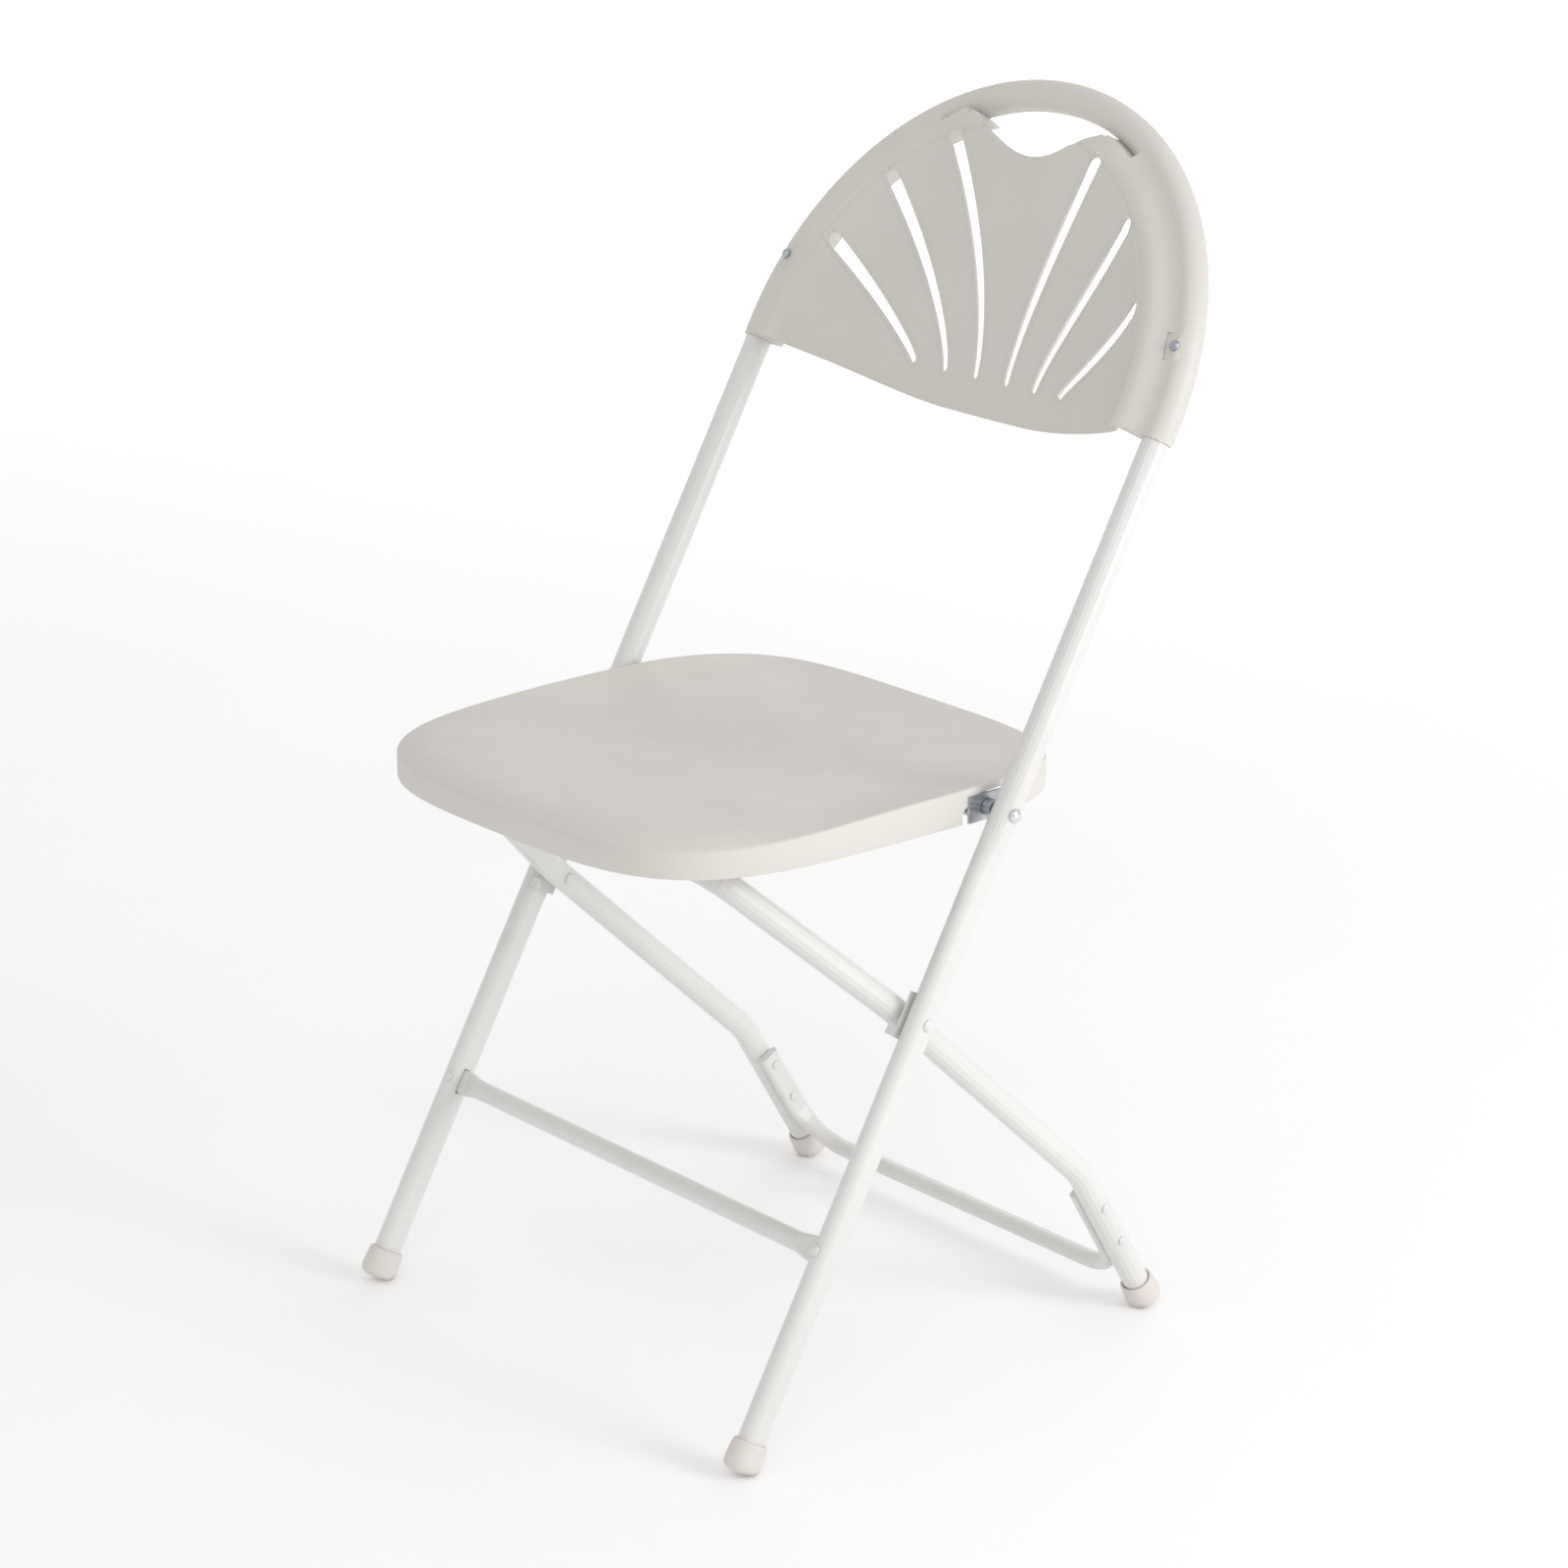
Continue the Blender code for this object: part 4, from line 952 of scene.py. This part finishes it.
def build_floor():
    mesh = bpy.data.meshes.new("floor")
    bm = bmesh.new()
    bmesh.ops.create_grid(bm, x_segments=2, y_segments=2, size=30.0)
    bm.to_mesh(mesh)
    bm.free()
    floor = bpy.data.objects.new("floor", mesh)
    bpy.context.scene.collection.objects.link(floor)
    g = Graph("floor_paper")
    tint = g.mix(g.noise(3.0), rgba(0.86, 0.86, 0.86), rgba(0.84, 0.84, 0.84))
    g.feed(g.shader.inputs["Base Color"], tint)
    g.shader.inputs["Roughness"].default_value = 0.9
    g.shader.inputs["Specular IOR Level"].default_value = 0.1
    g.shader.inputs["Emission Color"].default_value = rgba(1.0, 1.0, 1.0)
    g.shader.inputs["Emission Strength"].default_value = FLOOR_GLOW
    mesh.materials.append(g.mat)


def soft_light(name, place, target, size, power):
    light = bpy.data.lights.new(name, 'AREA')
    light.shape = 'RECTANGLE'
    light.size, light.size_y = size
    light.energy = power
    obj = bpy.data.objects.new(name, light)
    obj.location = place
    obj.rotation_euler = (Vector(target) - Vector(place)).to_track_quat('-Z', 'Y').to_euler()
    bpy.context.scene.collection.objects.link(obj)


def build_lights():
    scene = bpy.context.scene
    scene.view_settings.view_transform = 'Standard'
    world = bpy.data.worlds.new("studio")
    scene.world = world
    world.use_nodes = True
    sky = world.node_tree.nodes["Background"]
    sky.inputs["Color"].default_value = rgba(1.0, 1.0, 1.0)
    sky.inputs["Strength"].default_value = WORLD_LIGHT
    soft_light("key", (2.8, 1.0, 1.3), (0.0, 0.1, 0.45), (1.2, 1.6), 38.0)
    soft_light("floor_wash", (-3.5, 6.0, 4.0), (-4.5, 7.5, 0.0), (6.0, 5.0), 420.0)
    soft_light("fore_wash", (2.6, -2.4, 3.4), (0.4, -1.2, 0.0), (1.6, 1.6), 16.0)


def build_camera():
    """Camera fitted to the photo: lens in mm on a 36 mm sensor, place in metres."""
    lens = bpy.data.cameras.new("camera")
    lens.sensor_width = 36.0
    lens.lens = 105.92
    lens.clip_start = 0.1
    lens.clip_end = 100.0
    camera = bpy.data.objects.new("camera", lens)
    camera.location = (2.3262, -1.9862, 1.3853)
    camera.rotation_euler = (math.radians(71.868), 0.0, math.radians(49.647))
    bpy.context.scene.collection.objects.link(camera)
    bpy.context.scene.camera = camera


def main():
    build_camera()
    build_lights()
    build_floor()
    dress_cad()
    build_back_shell()
    build_seat()
    build_caps()
    build_rivets()
    build_stops()


main()
